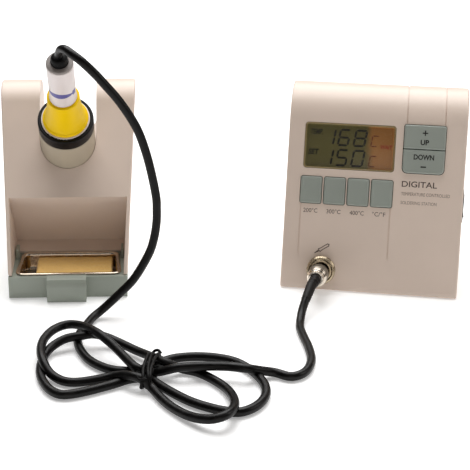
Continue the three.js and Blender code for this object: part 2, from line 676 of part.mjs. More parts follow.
// Heights from the pivot, along the drooping axis.
const plugBody = [[0, -4], [4.3, -4], [4.3, 4.6], [4.5, 7], [6.9, 7], [6.9, 14.3], [0, 14.3]];
const plugClamp = [[0, 14.6], [6.5, 14.6], [6.5, 18], [5.6, 18.6], [5.6, 20.2], [0, 20.2]];
piece(control, "plug_body", moved(turned(plugBody, 20), plugFrame), finish(0x8f8a84, 0.4, 0.6));
piece(control, "plug_ring", moved(sleeve(7.8, 9.8, 2.8, 7.6, 24), socketFrame), nickel());
piece(control, "plug_clamp", moved(turned(plugClamp, 16), plugFrame), steel());

const station = new THREE.Group();
station.add(control, stand, lead);

export default station;
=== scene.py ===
"""The looks of a soldering station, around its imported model.

It has a control unit, an iron stand, a pencil iron and a tied lead. Shapes are in millimetres where MM
scales them, and in metres where nothing does.
"""

import json
import math

import bmesh
import bpy
from mathutils import Matrix, Vector, noise as lattice


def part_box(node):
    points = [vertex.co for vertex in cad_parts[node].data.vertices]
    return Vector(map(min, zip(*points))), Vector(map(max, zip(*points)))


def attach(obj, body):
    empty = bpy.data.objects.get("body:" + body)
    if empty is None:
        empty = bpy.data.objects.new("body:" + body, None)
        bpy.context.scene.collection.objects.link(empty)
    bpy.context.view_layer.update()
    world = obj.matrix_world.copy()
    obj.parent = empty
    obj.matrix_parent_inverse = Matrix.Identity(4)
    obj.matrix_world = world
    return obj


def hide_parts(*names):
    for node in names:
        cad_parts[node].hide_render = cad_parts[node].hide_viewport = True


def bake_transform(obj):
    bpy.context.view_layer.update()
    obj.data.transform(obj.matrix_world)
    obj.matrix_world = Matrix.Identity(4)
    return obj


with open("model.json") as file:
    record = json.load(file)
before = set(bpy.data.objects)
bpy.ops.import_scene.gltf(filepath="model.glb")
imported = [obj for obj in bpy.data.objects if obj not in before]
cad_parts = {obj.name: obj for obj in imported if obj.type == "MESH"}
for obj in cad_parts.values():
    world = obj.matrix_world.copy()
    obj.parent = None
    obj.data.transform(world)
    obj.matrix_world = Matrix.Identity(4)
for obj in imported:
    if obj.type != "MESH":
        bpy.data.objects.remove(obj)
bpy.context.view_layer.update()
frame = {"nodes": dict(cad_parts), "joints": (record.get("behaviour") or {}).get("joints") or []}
NODES = frame["nodes"]
JOINTS = {j["name"]: j for j in frame["joints"]}
MM = 0.001
scene = bpy.context.scene

# ---- frames of the two housings and of the iron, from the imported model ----


def centre_of(node):
    low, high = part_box(node)
    return (low + high) / 2


def axes(x, y, z, origin):
    """A matrix from its three axes and its origin."""
    columns = Matrix((x, y, z)).transposed()
    return Matrix.Translation(origin) @ columns.to_4x4()


UP = Vector((0, 0, 1))
SOCKET_U, SOCKET_V = -32.4 * MM, 9.5 * MM
panel_out = Vector(JOINTS["plug_ring_turn"]["axis"]).normalized()
panel_right = UP.cross(panel_out).normalized()
panel_up = panel_out.cross(panel_right)
socket_at = Vector(JOINTS["plug_ring_turn"]["pos_m"])
SOCKET = axes(panel_right, panel_up, panel_out, socket_at)
PANEL = SOCKET @ Matrix.Translation((-SOCKET_U, -SOCKET_V, 0))

drawer_low, drawer_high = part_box("sponge_drawer")
STAND_ORIGIN = Vector(((drawer_low.x + drawer_high.x) / 2, drawer_low.y + 9.3 * MM, 0))
STAND = Matrix.Translation(STAND_ORIGIN)

RING_T = 24 * MM  # the insulating ring's middle, along the iron's axis
iron_out = Vector(JOINTS["iron_lift"]["axis"]).normalized()
iron_across = iron_out.cross(Vector((1, 0, 0)))
IRON = axes(Vector((1, 0, 0)), iron_across, iron_out, centre_of("insulating_ring") - RING_T * iron_out)

# ---- camera ----

CAMERA_AT = Vector((-0.0660, -0.85372, 0.38444))
LOOK_AT = Vector((-0.03839, -0.07094, 0.0600))
camera_data = bpy.data.cameras.new("camera")
camera_data.sensor_width = 36
camera_data.lens = 99.57
camera_data.shift_x = 0.1064
camera_data.shift_y = -0.0213
camera_data.clip_end = 20
camera = bpy.data.objects.new("camera", camera_data)
camera.location = CAMERA_AT
camera.rotation_euler = (LOOK_AT - CAMERA_AT).to_track_quat("-Z", "Y").to_euler()
scene.collection.objects.link(camera)
scene.camera = camera

# ---- materials ----


def srgb(r, g, b):
    """A colour from 0 to 255, as the linear colour that a shader takes."""

    def linear(c):
        c /= 255
        return c / 12.92 if c <= 0.04045 else ((c + 0.055) / 1.055) ** 2.4

    return (linear(r), linear(g), linear(b), 1)


GLOSS_SPREAD = 0.08


def blank(name):
    made = bpy.data.materials.new(name)
    made.use_nodes = True
    return made, made.node_tree, made.node_tree.nodes["Principled BSDF"]


def noise(tree, scale, detail=3.0, kind="ShaderNodeTexNoise"):
    """A texture in the object's own metres, so a scale of 1000 has grains about 1 mm apart."""
    place = tree.nodes.new("ShaderNodeTexCoord")
    texture = tree.nodes.new(kind)
    texture.inputs["Scale"].default_value = scale
    if "Detail" in texture.inputs:
        texture.inputs["Detail"].default_value = detail
    tree.links.new(place.outputs["Object"], texture.inputs["Vector"])
    return texture


def ramp(tree, source, low, high, start=0.3, end=0.7):
    """The source's range from start to end, as colours or greys from low to high."""
    node = tree.nodes.new("ShaderNodeValToRGB")
    node.color_ramp.elements[0].position = start
    node.color_ramp.elements[1].position = end
    node.color_ramp.elements[0].color = low
    node.color_ramp.elements[1].color = high
    tree.links.new(source, node.inputs["Fac"])
    return node.outputs["Color"]


def grey(value):
    return (value, value, value, 1)


def shade(color, factor):
    return (color[0] * factor, color[1] * factor, color[2] * factor, 1)


def bump(tree, shader, height, distance, strength=1.0):
    node = tree.nodes.new("ShaderNodeBump")
    node.inputs["Strength"].default_value = strength
    node.inputs["Distance"].default_value = distance
    tree.links.new(height, node.inputs["Height"])
    tree.links.new(node.outputs["Normal"], shader.inputs["Normal"])


def surface(name, color, rough, grain, depth, mottle=0.05, metal=0.0, coat=0.0, specular=0.5):
    """A moulded, cast or plated surface: fine grain, slow colour drift and uneven gloss."""
    made, tree, shader = blank(name)
    drift = noise(tree, 35, 5)
    tint = ramp(tree, drift.outputs["Fac"], shade(color, 1 - mottle), shade(color, 1 + mottle))
    tree.links.new(tint, shader.inputs["Base Color"])
    fine = noise(tree, grain, 2)
    gloss = ramp(tree, fine.outputs["Fac"], grey(rough - GLOSS_SPREAD), grey(rough + GLOSS_SPREAD))
    tree.links.new(gloss, shader.inputs["Roughness"])
    bump(tree, shader, fine.outputs["Fac"], depth, 0.6)
    shader.inputs["Metallic"].default_value = metal
    shader.inputs["Specular IOR Level"].default_value = specular
    shader.inputs["Coat Weight"].default_value = coat
    shader.inputs["Coat Roughness"].default_value = 0.12
    return made


def glass_like(name, color, alpha):
    """A thin clear sheet with smears in its gloss."""
    made, tree, shader = blank(name)
    smear = noise(tree, 90, 4)
    gloss = ramp(tree, smear.outputs["Fac"], grey(0.04), grey(0.1))
    tree.links.new(gloss, shader.inputs["Roughness"])
    shader.inputs["Base Color"].default_value = color
    shader.inputs["Alpha"].default_value = alpha
    return made


def sponge_material():
    """Tan cellulose: pits of two sizes, darker inside as painted shade, with a dry matt skin."""
    made, tree, shader = blank("sponge_cellulose")
    pits = noise(tree, 620, kind="ShaderNodeTexVoronoi")
    crumbs = noise(tree, 1500, 6)
    mix = tree.nodes.new("ShaderNodeMath")
    mix.operation = "MULTIPLY"
    tree.links.new(pits.outputs["Distance"], mix.inputs[0])
    tree.links.new(crumbs.outputs["Fac"], mix.inputs[1])
    # The darker tan where the cells' distance is small is painted shade inside the pits
    color = ramp(tree, mix.outputs["Value"], srgb(228, 158, 62), srgb(250, 204, 120), 0.02, 0.26)
    tree.links.new(color, shader.inputs["Base Color"])
    bump(tree, shader, mix.outputs["Value"], 0.0006, 0.9)
    shader.inputs["Roughness"].default_value = 0.95
    shader.inputs["Sheen Weight"].default_value = 0.2
    return made


def jacket_material():
    """The lead's black jacket: a soft gloss with faint length marks and dust."""
    made, tree, shader = blank("lead_jacket")
    dust = noise(tree, 260, 6)
    color = ramp(tree, dust.outputs["Fac"], srgb(3, 2, 2), srgb(9, 6, 5), 0.45, 0.8)
    tree.links.new(color, shader.inputs["Base Color"])
    gloss = ramp(tree, dust.outputs["Fac"], grey(0.3), grey(0.48))
    tree.links.new(gloss, shader.inputs["Roughness"])
    bump(tree, shader, noise(tree, 900, 3).outputs["Fac"], 0.00008, 0.5)
    shader.inputs["Specular IOR Level"].default_value = 0.22
    return made


def display_material():
    """A two-colour display: olive on the left, amber on the right, with a soft edge between, and a faint glow
    in its own colours that is painted light.
    """
    made, tree, shader = blank("display_face")
    place = tree.nodes.new("ShaderNodeTexCoord")
    split = tree.nodes.new("ShaderNodeSeparateXYZ")
    tree.links.new(place.outputs["Generated"], split.inputs["Vector"])
    drift = noise(tree, 120, 4)
    mix = tree.nodes.new("ShaderNodeMath")
    mix.operation = "MULTIPLY_ADD"
    mix.inputs[1].default_value = 0.12
    tree.links.new(drift.outputs["Fac"], mix.inputs[0])
    tree.links.new(split.outputs["X"], mix.inputs[2])
    color = ramp(tree, mix.outputs["Value"], srgb(100, 94, 54), srgb(172, 118, 66), 0.73, 0.81)
    tree.links.new(color, shader.inputs["Base Color"])
    shader.inputs["Roughness"].default_value = 0.35
    # Painted light: a faint glow so the face stays lit under its window
    shader.inputs["Emission Strength"].default_value = 0.12
    tree.links.new(color, shader.inputs["Emission Color"])
    return made


BEIGE = srgb(224, 206, 192)
GREY_GREEN = srgb(150, 157, 149)
beige = surface("case_plastic", BEIGE, 0.42, 2600, 0.00004, 0.02)
# The holder tube is the stand's beige plastic made darker: painted shade for its underside below the ring
tube_beige_painted_shade = surface("tube_plastic_painted_shade", srgb(178, 166, 146), 0.5, 2600, 0.00005, 0.03)
grey_green = surface("key_plastic", GREY_GREEN, 0.45, 2600, 0.00004, 0.03)
drawer_green = surface("drawer_plastic", srgb(154, 161, 150), 0.42, 2400, 0.00004, 0.03)
black = surface("black_plastic", srgb(5, 4, 4), 0.5, 1800, 0.00005, 0.1, specular=0.15)
ring_black = surface("ring_bakelite", srgb(5, 3, 3), 0.42, 1500, 0.00006, 0.12, specular=0.2)
yellow = surface("grip_plastic", srgb(244, 202, 0), 0.4, 2200, 0.00004, 0.03, specular=0.15)
white = surface("handle_plastic", srgb(226, 216, 214), 0.34, 2200, 0.00003, 0.02, coat=0.15)
cap_grey = surface("cap_plastic", srgb(146, 138, 134), 0.4, 2200, 0.00004, 0.04)
boot_brown = surface("boot_rubber", srgb(14, 9, 7), 0.5, 1400, 0.00008, 0.12, specular=0.2)
band_blue = surface("band_print", srgb(92, 90, 156), 0.4, 2200, 0.00002, 0.12)
rubber = surface("foot_rubber", srgb(30, 30, 30), 0.75, 1400, 0.0001, 0.1)
steel = surface("pressed_steel", srgb(205, 200, 194), 0.26, 900, 0.00003, 0.04, metal=1.0)
dish_steel = surface("dish_steel", srgb(200, 188, 172), 0.2, 500, 0.00003, 0.07, metal=1.0)
nickel = surface("warm_nickel", srgb(176, 162, 138), 0.24, 1300, 0.00003, 0.08, metal=1.0)
sleeve_grey = surface("sleeve_metal", srgb(150, 143, 132), 0.34, 1300, 0.00004, 0.06, metal=0.9)
chrome = surface("clamp_chrome", srgb(222, 212, 198), 0.14, 900, 0.00002, 0.05, metal=1.0)
board_green = surface("solder_mask", srgb(38, 92, 52), 0.4, 1800, 0.00003, 0.1)
iron_brown = surface("laminations", srgb(80, 74, 70), 0.5, 900, 0.0001, 0.12, metal=0.7)
copper = surface("winding_copper", srgb(176, 100, 54), 0.35, 700, 0.0001, 0.12, metal=0.8)
ceramic = surface("heater_ceramic", srgb(226, 220, 212), 0.6, 1500, 0.00004, 0.04)
module_dark = surface("display_module", srgb(60, 62, 52), 0.5, 1500, 0.00003, 0.08)
print_dark = surface("panel_print", srgb(74, 60, 54), 0.6, 3000, 0.00001, 0.06)
print_pale = surface("panel_print_pale", srgb(128, 112, 102), 0.6, 3000, 0.00001, 0.06)
print_key = surface("key_print", srgb(26, 26, 25), 0.55, 3000, 0.00001, 0.06)
segment_black = surface("display_segments", srgb(6, 5, 3), 0.5, 3000, 0.00001, 0.1)
segment_ghost = surface("display_ghost", srgb(112, 58, 34), 0.4, 3000, 0.00001, 0.05)
print_red = surface("display_red", srgb(170, 60, 42), 0.45, 3000, 0.00001, 0.08)
lens_clear = glass_like("display_window", srgb(60, 56, 44), 0.12)
sponge_tan = sponge_material()
jacket = jacket_material()

# ---- building ----


CORNER_STEPS = 8


def add_mesh(name, bm, material, body, replaces=(), sharp=35):
    """A bmesh as a piece that rides on a body, smooth except over sharp edges."""
    bmesh.ops.recalc_face_normals(bm, faces=bm.faces[:])
    data = bpy.data.meshes.new(name)
    bm.to_mesh(data)
    bm.free()
    for polygon in data.polygons:
        polygon.use_smooth = True
    data.set_sharp_from_angle(angle=math.radians(sharp))
    piece = bpy.data.objects.new(name, data)
    scene.collection.objects.link(piece)
    data.materials.append(material)
    if body:
        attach(piece, body)
    if replaces:
        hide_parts(*replaces)
    return piece


def refined(node, name, material, body, radius):
    """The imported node's own shape with its flat faces cleaned up and its edges rounded."""
    bm = bmesh.new()
    bm.from_mesh(NODES[node].data)
    bmesh.ops.remove_doubles(bm, verts=bm.verts[:], dist=0.00002)
    bmesh.ops.dissolve_limit(
        bm, angle_limit=math.radians(0.6), use_dissolve_boundaries=False, verts=bm.verts[:], edges=bm.edges[:]
    )
    edges = [e for e in bm.edges if e.is_manifold and e.calc_face_angle(0) > math.radians(28)]
    bmesh.ops.bevel(
        bm, geom=edges, offset=radius * MM, segments=2, profile=0.6, affect="EDGES", clamp_overlap=True
    )
    bmesh.ops.triangulate(bm, faces=[f for f in bm.faces if len(f.verts) > 4])
    return add_mesh(name, bm, material, body, (node,), sharp=28)


def lathe(name, profile, matrix, material, body, replaces=(), sides=72, radius_at=None):
    """A profile of (radius, height) in millimetres, closed on itself or on the axis, turned about Z."""
    bm = bmesh.new()
    rings = []
    for r, z in profile:
        if r < 1e-6:
            rings.append([bm.verts.new((0, 0, z * MM))])
            continue
        ring = []
        for i in range(sides):
            t = 2 * math.pi * i / sides
            reach = (radius_at(r, z, t) if radius_at else r) * MM
            ring.append(bm.verts.new((reach * math.cos(t), reach * math.sin(t), z * MM)))
        rings.append(ring)
    closed = len(rings[0]) > 1
    pairs = list(zip(rings, rings[1:] + rings[:1])) if closed else list(zip(rings, rings[1:]))
    for a, b in pairs:
        for i in range(sides):
            j = (i + 1) % sides
            corners = [a[i % len(a)], a[j % len(a)], b[j % len(b)], b[i % len(b)]]
            unique = list(dict.fromkeys(corners))
            if len(unique) > 2:
                bm.faces.new(unique)
    bm.transform(matrix)
    return add_mesh(name, bm, material, body, replaces)


def rounded(points, radius, steps=4):
    """A profile with its corners rounded, in millimetres. Points on the axis and the ends stay."""
    out = [points[0]]
    for before, at, after in zip(points, points[1:], points[2:]):
        a, p, b = Vector(before), Vector(at), Vector(after)
        reach = min(radius, (a - p).length * 0.45, (b - p).length * 0.45)
        start = p + (a - p).normalized() * reach
        end = p + (b - p).normalized() * reach
        for i in range(steps + 1):
            t = i / steps
            q = (1 - t) ** 2 * start + 2 * t * (1 - t) * p + t * t * end
            out.append((q.x, q.y))
    out.append(points[-1])
    return out


def loop_profile(points, radius):
    """A closed profile with every corner rounded."""
    around = rounded([points[-1], *points, points[0]], radius, 3)
    return around[1:-1]


def strip(bm, rings):
    """Quads between closed rings of the same number of points, in order."""
    made = [[bm.verts.new(p) for p in ring] for ring in rings]
    count = len(made[0])
    for a, b in zip(made, made[1:]):
        for i in range(count):
            j = (i + 1) % count
            bm.faces.new((a[i], a[j], b[j], b[i]))
    return made


def cap(bm, ring):
    """A fan that closes a ring with a point in its middle."""
    middle = bm.verts.new(sum((v.co for v in ring), Vector()) / len(ring))
    for i, v in enumerate(ring):
        bm.faces.new((v, ring[(i + 1) % len(ring)], middle))


def rounded_rectangle(x0, x1, y0, y1, r, z, narrowing):
    """Points round a rectangle with round corners, in metres from millimetres."""
    points = []
    centres = ((x1 - r, y1 - r, 0), (x0 + r, y1 - r, 90), (x0 + r, y0 + r, 180), (x1 - r, y0 + r, 270))
    for cx, cy, start in centres:
        for i in range(CORNER_STEPS + 1):
            t = math.radians(start + 90 * i / CORNER_STEPS)
            x, y = cx + r * math.cos(t), cy + r * math.sin(t)
            points.append(Vector((x * (1 - narrowing * (y - 1.2)), y, z)) * MM)
    return points


def tube(bm, path, radius_at, sides):
    """A closed tube round a line of points. radius_at takes the share of its length, from 0 to 1."""
    normal = (path[1] - path[0]).orthogonal().normalized()
    rings = []
    for i, p in enumerate(path):
        along = (path[min(i + 1, len(path) - 1)] - path[max(i - 1, 0)]).normalized()
        normal = (normal - along * normal.dot(along)).normalized()
        side = along.cross(normal)
        r = radius_at(i / (len(path) - 1))
        turn = [2 * math.pi * k / sides for k in range(sides)]
        rings.append([p + r * (math.cos(t) * normal + math.sin(t) * side) for t in turn])
    made = strip(bm, rings)
    cap(bm, made[0][::-1])
    cap(bm, made[-1])


def through(points, spacing, smoothing=0):
    """An even line of points on a smooth curve through the given ones, all in metres."""
    padded = [2 * points[0] - points[1], *points, 2 * points[-1] - points[-2]]
    dense = []
    for p0, p1, p2, p3 in zip(padded, padded[1:], padded[2:], padded[3:]):
        for k in range(16):
            t = k / 16
            a = 2 * p1 + (p2 - p0) * t
            b = (2 * p0 - 5 * p1 + 4 * p2 - p3) * t * t
            c = (3 * p1 - p0 - 3 * p2 + p3) * t**3
            dense.append((a + b + c) / 2)
    dense.append(points[-1])
    for _ in range(smoothing):
        dense[1:-1] = [(a + 2 * b + c) / 4 for a, b, c in zip(dense, dense[1:], dense[2:])]
    lengths = [0.0]
    for a, b in zip(dense, dense[1:]):
        lengths.append(lengths[-1] + (b - a).length)
    count = max(2, round(lengths[-1] / spacing))
    even = []
    k = 0
    for i in range(count + 1):
        want = lengths[-1] * i / count
        while k < len(dense) - 2 and lengths[k + 1] < want:
            k += 1
        share = (want - lengths[k]) / max(lengths[k + 1] - lengths[k], 1e-9)
        even.append(dense[k].lerp(dense[k + 1], min(max(share, 0), 1)))
    return even


# ---- lead ----

LEAD_DIAMETER = 5.6 * MM
HANGING = [
    (-117.1, -58.1, 170.8), (-116.6, -61, 173), (-115.6, -65.5, 176.2), (-113.4, -70, 178),
    (-110.9, -74, 178.1), (-108.1, -77.5, 177), (-101.9, -81, 173.1), (-93.9, -82, 165.4),
    (-88.4, -81.5, 158.8), (-80.3, -80.5, 148.6), (-72.2, -79.5, 135.8), (-66.8, -79, 124.3),
    (-61.5, -78.8, 106.2), (-57.3, -79.2, 84.5), (-56.8, -79.5, 74.2), (-57.1, -80, 65.2),
    (-58.9, -81, 54.6), (-62.5, -81.5, 43.8), (-72.1, -81.7, 26.9), (-82.3, -82.2, 16), (-89, -83, 9.6),
    (-94.8, -84.8, 5), (-99.3, -89.4, 3.2), (-102.8, -98.9, 3),
]
TO_TIE = [
    (-107.2, -112.6, 3), (-107.9, -122.1, 3), (-105.6, -134.3, 3), (-99.8, -147.5, 3), (-91.4, -156.7, 3),
    (-83.3, -161.3, 3), (-74.8, -162.2, 3), (-67, -160, 3), (-61.5, -155.8, 3), (-54.7, -151, 3),
]
RIGHT_OUTER = [
    (-46.6, -146.8, 3), (-34.8, -145.3, 3), (-22.7, -147, 3), (-11.8, -151.9, 3), (-3.9, -160.4, 3),
    (2.3, -172.3, 3), (5.2, -185, 3), (3.3, -197.2, 3), (-3.1, -207.2, 3), (-11.5, -212.5, 3),
    (-19.4, -211.6, 3), (-29.5, -206.8, 3), (-39.7, -199.7, 3), (-49, -190.2, 3), (-55.9, -181.7, 3),
    (-61.7, -174.3, 3), (-68.2, -171.1, 3),
]
LEFT_LOWER = [
    (-76, -172.6, 3), (-85.4, -178.3, 3), (-99.9, -185.5, 3), (-110.8, -189.1, 3), (-117.3, -187.8, 3),
    (-123.6, -179.9, 3), (-128.4, -165.3, 3), (-128.8, -149.7, 3.4), (-125.6, -137, 4.5),
    (-119.9, -130.6, 6.5), (-113.6, -127.5, 8), (-105.1, -126.1, 8.7), (-98.7, -124.6, 8.9),
    (-92, -124.5, 7.5), (-83.7, -127.8, 5.5), (-71.8, -138.3, 4.5), (-65, -145.3, 5), (-60.2, -152.2, 6.5),
    (-54.8, -161.2, 8.7), (-49.5, -162.6, 6.5),
]
RIGHT_INNER = [
    (-42.8, -161.6, 3.4), (-33.9, -165.5, 3), (-24.8, -175, 3), (-17.8, -186.7, 3.4), (-14.7, -201.2, 5),
    (-16.1, -216, 7.8), (-21.5, -225.5, 8.7), (-30.4, -225.6, 6.5), (-40.4, -218, 4), (-49.5, -207.2, 3),
    (-56.1, -196.3, 3), (-61.8, -184.3, 3.6), (-66.4, -182, 7.4), (-71.7, -179.3, 8.7),
]
LEFT_UPPER = [
    (-78.3, -174.2, 7), (-85.5, -171.3, 4.5), (-94.4, -172, 3), (-106.8, -174.9, 3), (-115.4, -172.4, 3),
    (-122.7, -165.7, 4.5), (-126.9, -158.3, 8), (-129.4, -144.7, 9), (-128.3, -130.6, 9.2),
    (-122.8, -119, 9.8), (-114.2, -113.9, 10.6), (-104.7, -119.5, 12.2), (-95.2, -133.5, 14.6),
    (-88.9, -140.6, 13), (-83.3, -146.6, 10.5), (-76.5, -158.8, 9), (-71.1, -168.4, 8.7), (-65.8, -168, 6),
    (-61, -166.1, 4),
]
TO_PLUG = [
    (-55, -167.5, 5.5), (-48.4, -169.3, 8.2), (-41.9, -169.2, 8.9), (-31.2, -168.6, 8.9),
    (-16.7, -169.4, 8.9), (-5, -172, 8.7), (4.3, -169.3, 5.5), (12.7, -167.7, 3.2), (21.7, -172.4, 2.9),
    (30.7, -166.9, 2.9), (36.2, -152.9, 2.9), (36.7, -135.9, 2.9), (35.5, -122.9, 2.9), (34.5, -110.9, 2.9),
    (35, -103.5, 3.1), (36, -98, 4.4), (37, -94, 5.9), (38, -91, 7.7), (39.1, -88.5, 9.4),
    (40.6, -85.5, 11.7), (42.2, -82, 13.4),
]
LOOPS = TO_TIE + RIGHT_OUTER + LEFT_LOWER + RIGHT_INNER + LEFT_UPPER
route = [Vector(p) * MM for p in HANGING + LOOPS + TO_PLUG]
LEAD_PATH = through(route, 2.5 * MM, 5)
bm = bmesh.new()
tube(bm, LEAD_PATH, lambda share: LEAD_DIAMETER / 2, sides=20)
LEAD_NODES = ("lead_iron_run", "lead_bundle", "lead_plug_run")
lead = add_mesh("iron_lead", bm, jacket, None, LEAD_NODES)
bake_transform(lead)

# The plug droops in its socket, about a point inside the coupling ring. Heights on it start there.
DROOP = math.radians(14)
PLUG = SOCKET @ Matrix.Translation((0, 0, 4 * MM)) @ Matrix.Rotation(DROOP, 4, Vector((0.91, -0.41, 0)))

# Its boot follows the lead out of the clamp, down to the table.
BOOT_BEND = ((45.4, -74.5, 16.4), (42.9, -80.5, 14.2), (40.6, -85.5, 11.7))
boot_line = [PLUG @ Vector((0, 0, w * MM)) for w in (19.6, 20.6, 22.6)]
boot_line += [Vector(p) * MM for p in BOOT_BEND]
boot_line = through(boot_line, 0.45 * MM, 2)


def ribbed(share):
    """A boot's radius along its length: three ribs, then a long taper."""
    radius = 3.7 - 0.65 * share
    if share < 0.4:
        radius += 0.3 * max(-0.4, math.cos(share / 0.4 * 3 * 2 * math.pi))
    return radius * MM


bm = bmesh.new()
tube(bm, boot_line, ribbed, sides=24)
plug_boot = add_mesh("plug_rubber_boot", bm, boot_brown, "root", ("plug_boot",), sharp=60)

# ---- the tie round the crossing of the loops ----

TIE_MIDDLE = Vector((-63, -168, 6.4)) * MM


def wrap(name, shift, turn, width, reach, height):
    """One turn of a flat wire tie: a rounded rectangle round the strands, leaning a little."""
    ring = []
    for i in range(49):
        t = 2 * math.pi * i / 48
        c, s = math.cos(t), math.sin(t)
        y = reach * abs(c) ** 0.55 * (1 if c > 0 else -1)
        z = height * abs(s) ** 0.7 * (1 if s > 0 else -1)
        ring.append(Vector((shift + turn * y + 0.5 * math.sin(3 * t), y, z)) * MM + TIE_MIDDLE)
    bm = bmesh.new()
    tube(bm, through(ring, 1.2 * MM, 1), lambda share: width * MM / 2, sides=12)
    return add_mesh(name, bm, black, "root")


tie_wraps = [
    wrap("tie_wrap_1", -2.2, 0.16, 2.2, 16.2, 5.2),
    wrap("tie_wrap_2", 0.3, 0.12, 2.2, 16.0, 5.3),
    wrap("tie_wrap_3", 2.6, 0.2, 2.2, 15.8, 5.1),
]
TIE_ENDS = (
    ("tie_end_1", ((-63, -183, 7.5), (-66, -184, 9.5), (-69, -183.6, 8.8), (-71, -181.6, 10.4))),
    ("tie_end_2", ((-62, -153, 8), (-60, -151.5, 10.5), (-57.6, -152.4, 11.6), (-56, -154.4, 10.6))),
)
for name, points in TIE_ENDS:
    bm = bmesh.new()
    tube(bm, through([Vector(p) * MM for p in points], 0.6 * MM, 1), lambda share: 0.9 * MM, sides=10)
    tie_wraps.append(add_mesh(name, bm, black, "root"))
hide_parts("lead_tie")

# ---- solids cut from solids ----


def temporary(bm):
    """A bmesh as an object that its caller removes."""
    data = bpy.data.meshes.new("temporary")
    bmesh.ops.recalc_face_normals(bm, faces=bm.faces[:])
    bm.to_mesh(data)
    bm.free()
    made = bpy.data.objects.new("temporary", data)
    scene.collection.objects.link(made)
    return made


def combined(bm, others):
    """A bmesh cut by each of the others, in turn."""
    body = temporary(bm)
    tools = [temporary(other) for other in others]
    for tool in tools:
        step = body.modifiers.new("step", "BOOLEAN")
        step.operation = "DIFFERENCE"
        step.solver = "EXACT"
        step.object = tool
    bpy.context.view_layer.update()
    made = bmesh.new()
    made.from_object(body, bpy.context.evaluated_depsgraph_get())
    for used in (body, *tools):
        data = used.data
        bpy.data.objects.remove(used)
        bpy.data.meshes.remove(data)
    bmesh.ops.remove_doubles(made, verts=made.verts[:], dist=0.00001)
    return made


def rounded_edges(bm, radius, angle=30, segments=2, only=None):
    """Rounds the edges that are sharper than the angle, or those of them that only() picks."""
    bmesh.ops.dissolve_limit(bm, angle_limit=math.radians(0.4), verts=bm.verts[:], edges=bm.edges[:])
    edges = [e for e in bm.edges if e.is_manifold and e.calc_face_angle(0) > math.radians(angle)]
    edges = [e for e in edges if only is None or only(e)]
    bmesh.ops.bevel(
        bm, geom=edges, offset=radius * MM, segments=segments, profile=0.5, affect="EDGES", clamp_overlap=True
    )
    return bm


def block(x0, x1, y0, y1, z0, z1):
    bm = bmesh.new()
    bmesh.ops.create_cube(bm, size=1)
    for v in bm.verts:
        v.co = Vector((x0 + x1, y0 + y1, z0 + z1)) / 2 * MM + Vector(
            (v.co.x * (x1 - x0), v.co.y * (y1 - y0), v.co.z * (z1 - z0))
        ) * MM
    return bm


def prism(outline, place_low, place_high):
    """A closed outline of 2-D points between two places, each a function of a point that gives metres."""
    bm = bmesh.new()
    low = [bm.verts.new(place_low(p)) for p in outline]
    high = [bm.verts.new(place_high(p)) for p in outline]
    bm.faces.new(low)
    bm.faces.new(high[::-1])
    for i in range(len(outline)):
        j = (i + 1) % len(outline)
        bm.faces.new((low[i], high[i], high[j], low[j]))
    return bm


def prism_x(outline, half):
    """An outline of (y, z) across X. half is a number, or a function of z for sides that lean."""
    reach = half if callable(half) else lambda z: half
    return prism(
        outline,
        lambda p: Vector((-reach(p[1]), p[0], p[1])) * MM,
        lambda p: Vector((reach(p[1]), p[0], p[1])) * MM,
    )


def prism_y(outline, y0, y1):
    return prism(outline, lambda p: Vector((p[0], y0, p[1])) * MM, lambda p: Vector((p[0], y1, p[1])) * MM)


def plate(x0, x1, y0, y1, z0, z1, radii):
    """A plate with its own corner radii, from the top right, counter-clockwise, in the panel's frame."""
    outline = corners(x0, x1, y0, y1, radii)
    return prism(outline, lambda p: Vector((*p, z0)) * MM, lambda p: Vector((*p, z1)) * MM)


def corners(x0, x1, y0, y1, radii):
    points = []
    places = ((x1, y1, -1, -1, 0), (x0, y1, 1, -1, 90), (x0, y0, 1, 1, 180), (x1, y0, -1, 1, 270))
    for (x, y, sx, sy, start), r in zip(places, radii):
        for i in range(CORNER_STEPS + 1):
            t = math.radians(start + 90 * i / CORNER_STEPS)
            points.append((x + sx * r + r * math.cos(t), y + sy * r + r * math.sin(t)))
    return points


def side_outline(slope, length, lip, roll, inset=0.0):
    """A straight slope above an upright lip, then a rounded top: its front point, curve, back and height."""
    centre_y = length * math.cos(slope) + roll * math.sin(slope)
    centre_z = lip + length * math.sin(slope) - roll * math.cos(slope)
    r = roll - inset
    curve = []
    for i in range(41):
        t = (math.pi / 2 + slope) * (1 - i / 40)
        curve.append((centre_y + r * math.cos(t), centre_z + r * math.sin(t)))
    front = (inset, lip + inset * (math.tan(slope) - 1 / math.cos(slope)))
    return front, curve, centre_y + r, centre_z


def in_frame(bm, matrix):
    bm.transform(matrix)
    return bm


def circle(radius, sides):
    turns = [2 * math.pi * i / sides for i in range(sides)]
    return [(radius * math.cos(t), radius * math.sin(t)) for t in turns]


def weighted(piece):
    """Keeps large flat faces flat beside their rounded edges."""
    step = piece.modifiers.new("normals", "WEIGHTED_NORMAL")
    step.keep_sharp = True
    return piece


# ---- control unit ----

